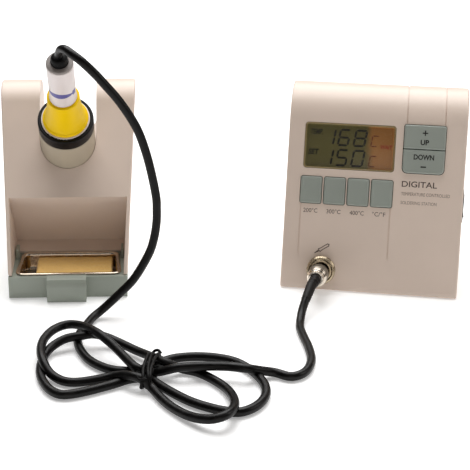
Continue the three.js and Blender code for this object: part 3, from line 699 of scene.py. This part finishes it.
UNIT_SLOPE = math.acos(panel_out.z)
UNIT_LIP = PANEL.translation.z / MM
UNIT = axes(panel_right, UP.cross(panel_right), UP, PANEL.translation - UNIT_LIP * MM * UP)
IN_UNIT = UNIT.inverted()
PANEL_IN_UNIT = IN_UNIT @ PANEL
UNIT_LENGTH, UNIT_ROLL, UNIT_HALF, WALL, BOTTOM = 111.5, 28.3, 60, 2.5, 0.4
LCD = (-49.1, 12.7, 79, 110.6)
KEYS = (18.1, 45.9, 79.3, 111.9)
KEY_SPLIT = 95.6
BUTTON_HALF_WIDTH, BUTTON_HALF_HEIGHT, BUTTON_V = 7.2, 9.2, 64.2
BUTTON_U = [-42.6 + 16 * i for i in range(4)]
SOCKET_HOLE = 8
GAP = 0.4  # round every button and key
ROCKER_OPENING = (37, 49, 43, 61)  # from y to y, then from z to z
ROOF_GROOVES = (19.5, 45)
PANEL_GROOVES = (-49, 11.7)
GROOVE_DEPTH = 0.7


def unit_shell():
    """The control unit's hollow case, with its openings and the grooves in its panel and roof."""
    front, curve, back, centre_z = side_outline(UNIT_SLOPE, UNIT_LENGTH, UNIT_LIP, UNIT_ROLL)
    front_in, curve_in, back_in, _ = side_outline(UNIT_SLOPE, UNIT_LENGTH, UNIT_LIP, UNIT_ROLL, WALL)
    body = prism_x([(0, BOTTOM), front, *curve, (back, BOTTOM)], UNIT_HALF)
    body = rounded_edges(body, 1.1, 40, 3, lambda e: abs(abs(e.verts[0].co.x) - UNIT_HALF * MM) < 1e-6)
    inside = UNIT_HALF - WALL
    over = side_outline(UNIT_SLOPE, UNIT_LENGTH, UNIT_LIP, UNIT_ROLL, -1)[1]
    under = side_outline(UNIT_SLOPE, UNIT_LENGTH, UNIT_LIP, UNIT_ROLL, GROOVE_DEPTH)[1]
    cuts = [
        prism_x([(WALL, -1), front_in, *curve_in, (back_in, -1)], inside),
        block(-inside, inside, back_in - 0.1, back + 1, -1, centre_z),
        block(UNIT_HALF - 4, UNIT_HALF + 1, *ROCKER_OPENING),
    ]
    for x in ROOF_GROOVES:
        groove = prism_x([*over, *under[::-1]], 0.35)
        cuts.append(in_frame(groove, Matrix.Translation((x * MM, 0, 0))))
    socket_hole = [(x + SOCKET_U / MM, y + SOCKET_V / MM) for x, y in circle(SOCKET_HOLE, 48)]
    through_panel = [
        plate(*LCD, -5, 5, (2.2,) * 4),
        plate(KEYS[0] - GAP, KEYS[1] + GAP, KEYS[2] - GAP, KEYS[3] + GAP, -5, 5, (1.6, 1.6, 3.6, 3.6)),
        prism(socket_hole, lambda p: Vector((*p, -5)) * MM, lambda p: Vector((*p, 5)) * MM),
    ]
    for u in BUTTON_U:
        bounds = (u - BUTTON_HALF_WIDTH - GAP, u + BUTTON_HALF_WIDTH + GAP)
        heights = (BUTTON_V - BUTTON_HALF_HEIGHT - GAP, BUTTON_V + BUTTON_HALF_HEIGHT + GAP)
        through_panel.append(plate(*bounds, *heights, -5, 5, (1.6,) * 4))
    for u in PANEL_GROOVES:
        through_panel.append(plate(u - 0.45, u + 0.45, 20, 54.5, -0.5, 2, (0.4,) * 4))
    cuts += [in_frame(opening, PANEL_IN_UNIT) for opening in through_panel]
    body = rounded_edges(combined(body, cuts), 0.3, 35)
    return in_frame(body, UNIT)


case = add_mesh("control_unit_case", unit_shell(), beige, "root", ("unit_case",), sharp=50)
weighted(case)


def panel_ring(bounds, inset, z, radii):
    """A rounded outline inside bounds (u0, u1, v0, v1), at a height over the panel."""
    u0, u1, v0, v1 = bounds
    outline = corners(u0 + inset, u1 - inset, v0 + inset, v1 - inset, radii)
    return [PANEL @ (Vector((*p, z)) * MM) for p in outline]


def cap_button(name, node, bounds, radii, top, body, dish=0.25):
    """A moulded key top: upright sides, a bevelled rim and a faintly sunken middle."""

    def ring(inset, z):
        return panel_ring(bounds, inset, z, [max(0.25, r - inset) for r in radii])

    profile = ((0, -3.4), (0, top - 1.0), (0.12, top - 0.55), (0.4, top - 0.2), (0.75, top - 0.04))
    profile += ((1.0, top), (1.3, top - 0.06), (1.7, top - dish * 0.6), (2.6, top - dish))
    bm = bmesh.new()
    made = strip(bm, [ring(*p) for p in profile])
    cap(bm, made[0])
    cap(bm, made[-1])
    return add_mesh(name, bm, grey_green, body, (node,), sharp=70)


for i, u in enumerate(BUTTON_U):
    bounds = (u - BUTTON_HALF_WIDTH, u + BUTTON_HALF_WIDTH)
    bounds += (BUTTON_V - BUTTON_HALF_HEIGHT, BUTTON_V + BUTTON_HALF_HEIGHT)
    node = f"preset_button_{i + 1}"
    cap_button(f"preset_cap_{i + 1}", node, bounds, (1.3,) * 4, 1.1, node + "_body")
up_bounds = (KEYS[0], KEYS[1], KEY_SPLIT + 0.2, KEYS[3])
down_bounds = (KEYS[0], KEYS[1], KEYS[2], KEY_SPLIT - 0.2)
cap_button("up_cap", "up_key", up_bounds, (1.3, 1.3, 0.5, 0.5), 1.6, "up_key_body", 0.2)
cap_button("down_cap", "down_key", down_bounds, (0.5, 0.5, 3.3, 3.3), 1.6, "down_key_body", 0.2)

# The display: a sloping frame inside the opening, the face, the lens over it, and the figures.
FACE = -2.75


def lcd_bezel():
    """A frame that slopes in from the panel's face to the display."""
    profile = ((0.15, -2.7, 2), (0.15, -0.55, 2), (0.45, -0.35, 1.8), (1.2, -1.3, 1.3), (1.3, -2.7, 1.2))
    rings = [panel_ring(LCD, inset, z, (r,) * 4) for inset, z, r in profile]
    bm = bmesh.new()
    strip(bm, [*rings, rings[0]])
    bmesh.ops.remove_doubles(bm, verts=bm.verts[:], dist=0.000005)
    return bm


bezel_olive = surface("bezel_plastic", srgb(150, 134, 98), 0.25, 1800, 0.00002, 0.06, coat=0.4)
add_mesh("lcd_bezel", lcd_bezel(), bezel_olive, "root", sharp=50)


def display_sheet(inset, z0, z1, radius):
    u0, u1, v0, v1 = LCD
    sheet = plate(u0 + inset, u1 - inset, v0 + inset, v1 - inset, z0, z1, (1,) * 4)
    return in_frame(rounded_edges(sheet, radius, 40), PANEL)


lens = display_sheet(1.9, -2.1, -1.5, 0.15)
add_mesh("lcd_window", lens, lens_clear, "root", ("lcd_lens",), sharp=50)
add_mesh("lcd_face", display_sheet(1, -3.4, FACE, 0.1), display_material(), "root")


BAR_DEPTH = 0.05


def bars(name, quads, material, body, slot, z):
    """Flat raised bars, each a list of corners in the panel's plane."""
    bm = bmesh.new()
    for quad in quads:
        low = [bm.verts.new(Vector((*p, z)) * MM) for p in quad]
        high = [bm.verts.new(Vector((*p, z + BAR_DEPTH)) * MM) for p in quad]
        bm.faces.new(low[::-1])
        bm.faces.new(high)
        for i in range(len(quad)):
            j = (i + 1) % len(quad)
            bm.faces.new((low[i], low[j], high[j], high[i]))
    bm.transform(PANEL)
    return add_mesh(name, bm, material, body)


SEGMENTS = {
    "0": "abcdef",
    "1": "bc",
    "5": "acdfg",
    "6": "acdefg",
    "8": "abcdefg",
    "C": "adef",
}
LEAN = math.tan(math.radians(9))
SEGMENT_GAP = 0.18


def digit(figure, centre, low, width, height, thick):
    """Seven slanted bars with pointed ends, as quads and hexagons in the panel's plane."""
    w, h, t = width / 2, height / 2, thick / 2
    across = {"a": h - t, "g": 0, "d": t - h}
    upright = {"b": (w - t, 0, h), "c": (w - t, -h, 0), "f": (t - w, 0, h), "e": (t - w, -h, 0)}
    quads = []
    for name in SEGMENTS[figure]:
        if name in across:
            y, r = across[name], w - t - SEGMENT_GAP
            quad = [(-r, y), (-r + t, y - t), (r - t, y - t), (r, y), (r - t, y + t), (-r + t, y + t)]
        else:
            x, y0, y1 = upright[name]
            y0 = (y0 + t if y0 < 0 else y0) + SEGMENT_GAP
            y1 = (y1 - t if y1 > 0 else y1) - SEGMENT_GAP
            quad = [(x, y0), (x + t, y0 + t), (x + t, y1 - t), (x, y1), (x - t, y1 - t), (x - t, y0 + t)]
        quads.append([(centre + px + LEAN * py, low + h + py) for px, py in quad])
    return quads


# Each row's figures, its lower edge and its shift to the left.
DISPLAY_ROWS = (("168", 95.0, 0.0), ("150", 81.2, -0.8))
FIGURE_CENTRES = (-32.3, -22.3, -11.4)
FIGURE_WIDTHS = (8, 8, 8.6)
figures = []
for text, low, shift in DISPLAY_ROWS:
    for figure, centre, width in zip(text, FIGURE_CENTRES, FIGURE_WIDTHS):
        figures += digit(figure, centre + shift, low, width, 11.9, 1.4)
bars("lcd_digits", figures, segment_black, "root", "lcd_frame", FACE + 0.05)
ghosts = [*digit("C", -1.4, 95.6, 5, 7.8, 0.75), *digit("C", -2.2, 81.8, 5, 7.8, 0.75)]
bars("lcd_degrees", ghosts, segment_ghost, "root", "lcd_frame", FACE + 0.05)


def lettering(name, text, bounds, material, face, bold=0.0, lean=0.0):
    """Words as thin raised shapes that fill the bounds (u0, u1, v0, v1) of a face: body, slot (not used) and
    height.
    """
    body, slot, z = face
    curve = bpy.data.curves.new(name, "FONT")
    curve.body = text
    curve.extrude = 0.01
    curve.offset = bold
    curve.resolution_u = 4
    source = bpy.data.objects.new(name, curve)
    scene.collection.objects.link(source)
    bpy.context.view_layer.update()
    flat = bpy.data.meshes.new_from_object(source.evaluated_get(bpy.context.evaluated_depsgraph_get()))
    bm = bmesh.new()
    bm.from_mesh(flat)
    bpy.data.meshes.remove(flat)
    bpy.data.objects.remove(source)
    bpy.data.curves.remove(curve)
    xs = [v.co.x for v in bm.verts]
    ys = [v.co.y for v in bm.verts]
    u0, u1, v0, v1 = bounds
    for v in bm.verts:
        share_x = (v.co.x - min(xs)) / (max(xs) - min(xs))
        share_y = (v.co.y - min(ys)) / (max(ys) - min(ys))
        depth = LETTER_DEPTH if v.co.z > 0 else 0
        u = u0 + (u1 - u0) * share_x + lean * (share_y - 0.5) * (v1 - v0)
        v.co = PANEL @ (Vector((u, v0 + (v1 - v0) * share_y, z + depth)) * MM)
    bmesh.ops.remove_doubles(bm, verts=bm.verts[:], dist=0.000002)
    return add_mesh(name, bm, material, body, sharp=30)


LETTER_DEPTH = 0.04
DISPLAY_TEXT = ("root", "lcd_frame", FACE + 0.05)
CASE_TEXT = ("root", "beige_plastic", 0.01)
KEY_HEIGHT = 1.42
UP_TEXT = ("up_key_body", "grey_green_plastic", KEY_HEIGHT)
DOWN_TEXT = ("down_key_body", "grey_green_plastic", KEY_HEIGHT)
TEXTS = (
    ("lcd_temp", "TEMP.", (-45.5, -36.8, 102.2, 106.0), segment_black, DISPLAY_TEXT, 0.03, 0.15),
    ("lcd_set", "SET", (-46.0, -39.2, 88.4, 92.4), segment_black, DISPLAY_TEXT, 0.03, 0.15),
    ("lcd_wait", "WAIT", (2.4, 10.4, 94.4, 97.2), print_red, DISPLAY_TEXT, 0.03, 0.15),
    ("preset_label_1", "200°C", (-47, -37.4, 48.6, 51.6), print_dark, CASE_TEXT),
    ("preset_label_2", "300°C", (-31.2, -21.6, 48.6, 51.6), print_dark, CASE_TEXT),
    ("preset_label_3", "400°C", (-15.4, -5.8, 48.6, 51.6), print_dark, CASE_TEXT),
    ("preset_label_4", "°C/°F", (-0.2, 8.8, 48.6, 51.6), print_dark, CASE_TEXT),
    ("unit_word", "DIGITAL", (18.5, 42, 69.8, 73.8), print_dark, CASE_TEXT, 0.01),
    ("unit_line_1", "TEMPERATURE CONTROLLED", (18.5, 51, 64.0, 66.2), print_pale, CASE_TEXT),
    ("unit_line_2", "SOLDERING STATION", (18.5, 42.5, 58.0, 60.2), print_pale, CASE_TEXT),
    ("up_word", "UP", (29.2, 34.8, 98.6, 102.2), print_key, UP_TEXT, 0.03),
    ("down_word", "DOWN", (25.2, 38.8, 88.6, 92.2), print_key, DOWN_TEXT, 0.03),
)
for text in TEXTS:
    lettering(*text)


def rectangle(u0, u1, v0, v1):
    return [(u0, v0), (u1, v0), (u1, v1), (u0, v1)]


plus = [rectangle(30.2, 33.8, 106.3, 107.1), rectangle(31.6, 32.4, 104.9, 108.5)]
bars("up_plus", plus, print_key, *UP_TEXT)
bars("down_minus", [rectangle(30.2, 33.8, 83.4, 84.3)], print_key, *DOWN_TEXT)


def icon_line(points, width):
    """The sides of a line through points, as quads."""
    quads = []
    for a, b in zip(points, points[1:]):
        a, b = Vector(a), Vector(b)
        along = (b - a).normalized()
        side = Vector((-along.y, along.x)) * width / 2
        a, b = a - along * width / 2, b + along * width / 2
        quads.append([tuple(a - side), tuple(b - side), tuple(b + side), tuple(a + side)])
    return quads


# A pencil iron seen from the side, with its tip to the lower left.
icon_axis = Vector((math.cos(math.radians(34)), math.sin(math.radians(34))))
icon_side = Vector((-icon_axis.y, icon_axis.x))
icon_tip = Vector((-37.4, 21.0))
icon_half = [(0, 0), (3.4, 0.35), (3.6, 1.1), (5.2, 0.8), (10.6, 0.85), (11.4, 0)]
outline = icon_half + [(a, -b) for a, b in icon_half[-2::-1]]
icon_points = [tuple(icon_tip + icon_axis * a + icon_side * b) for a, b in outline]
bars("iron_icon", icon_line(icon_points, 0.5), print_dark, "root", "beige_plastic", 0.01)

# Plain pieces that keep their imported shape, with their edges rounded.
for node, name, material, body, slot, radius in (
    ("rear_panel", "rear_cover", grey_green, "root", "grey_green_plastic", 0.4),
    ("base_plate", "base_cover", grey_green, "root", "grey_green_plastic", 0.4),
    ("mains_inlet", "mains_inlet_body", black, "root", "black_plastic", 0.4),
    ("rocker_frame", "rocker_surround", black, "root", "black_plastic", 0.35),
    ("power_rocker", "rocker_paddle", black, "rocker", "black_plastic", 0.5),
    ("fuse_holder", "fuse_holder_body", black, "root", "black_plastic", 0.3),
    ("fuse_cap", "fuse_holder_cap", black, "fuse_cap_body", "black_plastic", 0.4),
    ("sponge_drawer", "sponge_tray", drawer_green, "drawer", "grey_green_plastic", 0.45),
    ("stand_weight", "stand_ballast", iron_brown, "root", "iron_laminations", 0.4),
):
    weighted(refined(node, name, material, body, radius))

# ---- connector ----


def knurl(r, z, t):
    """Fine straight ribs on the outer face of the coupling ring."""
    return r + (0.2 * math.cos(36 * t) if r > 9.1 and 4.9 < z < 7 else 0)


socket_profile = [(0, -9), (6.6, -9), (6.6, -6.2), (7.6, -6.2), (7.6, 0.3), (9.8, 0.3), (9.8, 2.4)]
socket_profile += [(7.4, 2.4), (7.4, 8), (5.8, 8), (5.8, -7.6), (0, -7.6)]
lathe("socket_shell", rounded(socket_profile, 0.35), SOCKET, nickel, "root", ("panel_socket",))
ring_profile = [(7.8, 2.9), (9.7, 2.9), (9.7, 4.0), (9.1, 4.5), (9.3, 5.0), (9.3, 6.9), (8.8, 7.5)]
ring_profile += [(7.8, 7.5)]
ring_shape = loop_profile(ring_profile, 0.35)
lathe("coupling_ring", ring_shape, SOCKET, nickel, "coupling_ring", ("plug_ring",), 216, knurl)
body_profile = [(0, -4), (4.3, -4), (4.5, 4.6), (5, 6), (5, 7), (6.9, 7.2), (6.9, 13.2), (6.5, 13.5)]
body_profile += [(6.5, 14.3), (0, 14.3)]
lathe("plug_sleeve", rounded(body_profile, 0.35), PLUG, sleeve_grey, "root", ("plug_body",))
clamp_profile = [(0, 14.5), (6.6, 14.5), (6.6, 15.6), (6, 16.1), (6.4, 16.7), (6.4, 17.6), (5.5, 18.4)]
clamp_profile += [(5.2, 20.2), (0, 20.2)]
clamp_shape = rounded(clamp_profile, 0.3)
clamp = lathe("plug_strain_clamp", clamp_shape, PLUG, chrome, "root", ("plug_clamp",))

# ---- iron stand ----

STAND_SLOPE = math.radians(53.1)
STAND_LENGTH, STAND_LIP, STAND_ROLL, STAND_SIDE = 125, 15.95, 23.9, 2.7
SLOT_RADIUS, SLOT_CENTRE, REAR_FOOT = 19.7, 96.1, 50.3
IN_STAND = STAND.inverted()
RECESS_WALL = ((52, 20.5), (50.5, 28), (47, 38), (41.5, 49), (33.07, 60))
RECESS_BACK = ((54.8, 20.3), (53, 28.7), (49.3, 39), (43.6, 50.4), (35.5, 62.4))


def stand_half(inset):
    """Half the stand's width at a height, which grows upwards."""
    return lambda z: (81 + 0.128 * (z - STAND_LIP)) / 2 - inset


def smooth_line(points):
    """Points of (y, z), closer together on the same curve."""
    line = through([Vector((0, *p)) for p in points], 1.5)
    return [(p.y, p.z) for p in line]


def slot_prism(grow):
    """The open slot between the stand's two humps, wider by grow on each side."""
    r = SLOT_RADIUS + grow
    arc = [math.pi + math.pi * i / 32 for i in range(33)]
    bottom = [(r * math.cos(t), SLOT_CENTRE + r * math.sin(t)) for t in arc]
    return prism_y([(-r, 150), *bottom, (r, 150)], 20, 140)


def bore(radius, t0, t1):
    """A round rod along the iron's axis, in the stand's frame."""
    made = prism(circle(radius, 64), lambda p: Vector((*p, t0)) * MM, lambda p: Vector((*p, t1)) * MM)
    return in_frame(made, IN_STAND @ IRON)


def stand_shell():
    """The iron stand's hollow body, with its slot, recess and the space for the drawer."""
    front, curve, back, _ = side_outline(STAND_SLOPE, STAND_LENGTH, STAND_LIP, STAND_ROLL)
    _, curve_in, back_in, _ = side_outline(STAND_SLOPE, STAND_LENGTH, STAND_LIP, STAND_ROLL, WALL)
    outline = [front, *curve, (back, BOTTOM), (REAR_FOOT, BOTTOM), (REAR_FOOT, STAND_LIP)]
    body = prism_x(outline, stand_half(0))
    half = stand_half(0)
    body = rounded_edges(
        body, 1.3, 40, 3, lambda e: all(abs(abs(v.co.x) - half(v.co.z / MM) * MM) < 1e-6 for v in e.verts)
    )
    rear = REAR_FOOT + WALL
    inner = [(rear, -5), (rear, 16.5), (4, 16.5), (4, 17.1), *curve_in, (back_in, -5)]
    hollow = prism_x(inner, stand_half(STAND_SIDE))
    skin = prism_x([(-12, 13), (54.9, 13), *smooth_line(RECESS_BACK), (-12, 62.4)], 70)
    hollow = combined(hollow, [skin, slot_prism(WALL)])
    recess = prism_x([(-9, 17.3), (40, 17.3), *smooth_line(RECESS_WALL), (-9, 60)], stand_half(STAND_SIDE))
    body = combined(body, [hollow])
    body = combined(body, [recess, block(-37.8, 37.8, -9, 39.6, 0, 17.4), slot_prism(0), bore(19.3, -70, 45)])
    return in_frame(rounded_edges(body, 0.45, 35), STAND)


stand = add_mesh("stand_shell", stand_shell(), beige, "root", ("stand_body",), sharp=50)
weighted(stand)

# The pressed dish, with its rolled rim, a little narrower at the back.
DISH_X, DISH_Y = (-36, 36.6), (1.2, 39.3)


def dish_ring(inset, z, r):
    x0, x1 = DISH_X[0] + inset, DISH_X[1] - inset
    y0, y1 = DISH_Y[0] + inset, DISH_Y[1] - inset
    return [STAND @ p for p in rounded_rectangle(x0, x1, y0, y1, r, z, narrowing=0.00167)]


# Each ring of the dish: its inset from the rim, its height and its corner radius.
DISH_PROFILE = (
    (9, 4.5, 1.5), (5, 4.5, 2), (3.3, 5, 3), (2.5, 6.2, 3.8), (2.4, 15.2, 4), (1.6, 15.6, 4.8),
    (0.6, 15.7, 5.6), (0.1, 16.1, 6), (0.1, 16.6, 6), (0.5, 16.95, 5.7), (1.3, 17.05, 5), (2.2, 16.9, 4.4),
    (2.9, 16.3, 3.8), (3.2, 15.4, 3.5), (3.3, 7.2, 3.4), (3.8, 6, 3), (5.2, 5.35, 2), (9, 5.3, 1.5),
)
bm = bmesh.new()
made = strip(bm, [dish_ring(inset, z, r) for inset, z, r in DISH_PROFILE])
cap(bm, made[0])
cap(bm, made[-1])
add_mesh("pressed_dish", bm, dish_steel, "dish", ("sponge_dish",), sharp=60)

# The sponge, from x to x, y to y and z to z in the stand's frame.
SPONGE = (-22.6, 30.2, 5.2, 35, 5.6, 15.4)


def sponge_slab():
    """A slab of small cells, moved along their normals by slow swells and by pores."""
    x0, x1, y0, y1, z0, z1 = SPONGE
    bm = rounded_edges(block(x0 + 0.5, x1 - 0.5, y0 + 0.5, y1 - 0.5, z0 + 0.3, z1 - 0.4), 1.1, 40, 3)
    source = temporary(bm)
    step = source.modifiers.new("cells", "REMESH")
    step.mode = "VOXEL"
    step.voxel_size = 0.55 * MM
    bpy.context.view_layer.update()
    made = bmesh.new()
    made.from_object(source, bpy.context.evaluated_depsgraph_get())
    data = source.data
    bpy.data.objects.remove(source)
    bpy.data.meshes.remove(data)
    made.normal_update()
    moves = []
    for v in made.verts:
        p = v.co / MM
        swell = 0.28 * lattice.noise(p / 7) + 0.16 * lattice.noise(p / 2.2)
        cell = lattice.voronoi(p / 1.5)[0][0]
        pit = -0.55 * max(0.0, 0.42 - cell) / 0.42
        moves.append(v.normal * (swell + pit) * MM)
    for v, move in zip(made.verts, moves):
        v.co += move
    return in_frame(made, STAND)


sponge_piece = add_mesh("tip_sponge", sponge_slab(), sponge_tan, "dish", ("sponge",), sharp=180)

# ---- holder and iron, along the iron's axis ----

holder = loop_profile([(16.8, -62), (19, -62), (19, 19.2), (16.8, 19.2)], 0.5)
lathe("holder_barrel", holder, IRON, tube_beige_painted_shade, "root", ("holder_tube",), 96)
ring = loop_profile([(16.6, 19.5), (19, 19.5), (19, 28.5), (16.6, 28.5)], 0.8)
lathe("insulator_ring", ring, IRON, ring_black, "root", ("insulating_ring",), 96)
liner = loop_profile([(15, -50), (16.3, -50), (16.3, 28.8), (15, 28.8)], 0.3)
lathe("liner_sleeve", liner, IRON, steel, "root", ("tube_liner",), 96)
rim = loop_profile([(15.3, 28.6), (16.5, 28.6), (16.5, 29.3), (15.3, 29.3)], 0.2)
lathe("liner_rim", rim, IRON, white, "root", (), 96)
IRON_PIECES = (
    ("soldering_tip", "iron_tip", nickel, "nickel",
     [(0, -56), (0.7, -55.6), (2.4, -42), (4.6, -34), (4.6, -32.3), (3.2, -32.3), (3.2, -12.3), (0, -12.3)]),
    ("grip_cone", "iron_grip", yellow, "yellow_plastic",
     [(5.3, 29.1), (15.5, 29.1), (15.5, 30.8), (14.3, 31.7), (13.2, 35), (12.2, 40), (11.4, 46),
      (10.9, 51), (10.9, 55.9), (5.3, 55.9)]),
    ("handle_barrel", "iron_handle", white, "white_plastic",
     [(6, 56.2), (9.2, 56.2), (9.2, 57.2), (8.8, 57.8), (8.75, 60), (8.8, 74), (8.9, 92.6), (6, 92.6)]),
    ("end_cap", "handle_cap", cap_grey, "cap_grey",
     [(3.3, 88.3), (5.7, 88.3), (5.7, 92.9), (8.7, 92.9), (8.7, 93.8), (8.2, 94.4), (3.3, 94.4)]),
    ("barrel_tube", "iron_barrel", steel, "steel", [(3.6, -32), (5, -32), (5, 50), (3.6, 50)]),
    ("barrel_collar", "barrel_nut", steel, "steel", [(5.3, 18), (7.5, 18), (7.5, 28.8), (5.3, 28.8)]),
)
for name, node, material, slot, profile in IRON_PIECES:
    shaped = rounded(profile, 0.4) if profile[0][0] == 0 else loop_profile(profile, 0.5)
    lathe(name, shaped, IRON, material, "iron", (node,), 96)


def swoosh():
    """A printed band part of the way round the handle, narrow at its two ends."""
    bm = bmesh.new()
    rows = []
    steps = 40
    for i in range(steps + 1):
        share = i / steps
        t = math.radians(-168 + 150 * share)
        half = 2.3 * math.sin(math.pi * min(1, share * 1.15)) ** 0.6 if share < 0.87 else 2.3
        middle = 67.4 + 0.8 * math.sin(math.pi * share)
        column = []
        for r, side in ((8.7, -1), (8.87, -1), (8.87, 1), (8.7, 1)):
            place = Vector((r * math.cos(t), r * math.sin(t), middle + side * half))
            column.append(bm.verts.new(place * MM))
        rows.append(column)
    for a, b in zip(rows, rows[1:]):
        for k in range(4):
            bm.faces.new((a[k], a[(k + 1) % 4], b[(k + 1) % 4], b[k]))
    bm.faces.new(rows[0])
    bm.faces.new(rows[-1][::-1])
    bm.transform(IRON)
    return bm


add_mesh("handle_band", swoosh(), band_blue, "iron")

# The iron's short boot: a plug in the cap, a collar, and a rounded end round the lead.
BOOT_PROFILE = [(0, 89), (3, 89), (3, 94.7), (5.8, 94.7), (5.8, 95.6), (5.5, 95.9), (5.6, 96.3), (5.5, 98)]
BOOT_PROFILE += [(5.0, 99.3), (4.2, 100.2), (3.2, 100.6), (0, 100.6)]
boot_shape = rounded(BOOT_PROFILE, 0.25)
lathe("iron_strain_boot", boot_shape, IRON, black, "iron", ("strain_boot",), 64)

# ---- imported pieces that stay, with finished materials ----

KEPT = {
    rubber: [f"unit_foot_{i}" for i in (1, 2, 3, 4)] + [f"stand_foot_{i}" for i in (1, 2, 3, 4)],
    steel: [f"case_screw_{i}" for i in (1, 2, 3, 4)] + ["stand_screw_1", "stand_screw_2", "socket_nut"],
    module_dark: ["lcd_module"],
    black: ["switch_housing"],
    board_green: ["main_board"],
    iron_brown: ["transformer_core"],
    copper: ["transformer_winding"],
    ceramic: ["heater"],
}
for material, nodes in KEPT.items():
    for node in nodes:
        slots = NODES[node].material_slots
        if slots:
            slots[0].material = material
        else:
            NODES[node].data.materials.append(material)

# ---- floor and light ----


def floor_material():
    """A matt white floor with a faint glow of its own."""
    made, tree, shader = blank("studio_floor")
    tint = ramp(tree, noise(tree, 3, 3).outputs["Fac"], grey(0.9), grey(0.93))
    tree.links.new(tint, shader.inputs["Base Color"])
    shader.inputs["Roughness"].default_value = 0.7
    shader.inputs["Specular IOR Level"].default_value = 0.2
    shader.inputs["Emission Color"].default_value = (1, 1, 1, 1)
    shader.inputs["Emission Strength"].default_value = 0.3
    return made


floor_data = bpy.data.meshes.new("floor")
floor_data.from_pydata([(-6, -6, 0), (6, -6, 0), (6, 6, 0), (-6, 6, 0)], [], [(0, 1, 2, 3)])
floor_data.materials.append(floor_material())
floor = bpy.data.objects.new("floor", floor_data)
scene.collection.objects.link(floor)

world = bpy.data.worlds.new("studio")
world.use_nodes = True
world.node_tree.nodes["Background"].inputs["Color"].default_value = (1, 0.95, 0.9, 1)
world.node_tree.nodes["Background"].inputs["Strength"].default_value = 0.1
scene.world = world
scene.view_settings.view_transform = "Standard"


def area_light(name, at, aim, size, watts, color=(1, 1, 1)):
    """A square lamp at a place, turned to face another, all in metres."""
    data = bpy.data.lights.new(name, "AREA")
    data.size = size
    data.energy = watts
    data.color = color
    lamp = bpy.data.objects.new(name, data)
    lamp.location = at
    lamp.rotation_euler = (Vector(aim) - Vector(at)).to_track_quat("-Z", "Y").to_euler()
    scene.collection.objects.link(lamp)


area_light("overhead", (0, 0.65, 1.4), (0, 0.0, 0), 1.5, 39)
area_light("front_fill", (0.0, -2.0, 0.3), (0, 0, 0.05), 1.0, 3.6, (1, 0.9, 0.82))
area_light("from_right", (1.3, -0.2, 0.8), (-0.02, -0.05, 0.05), 0.6, 4, (1, 0.97, 0.94))
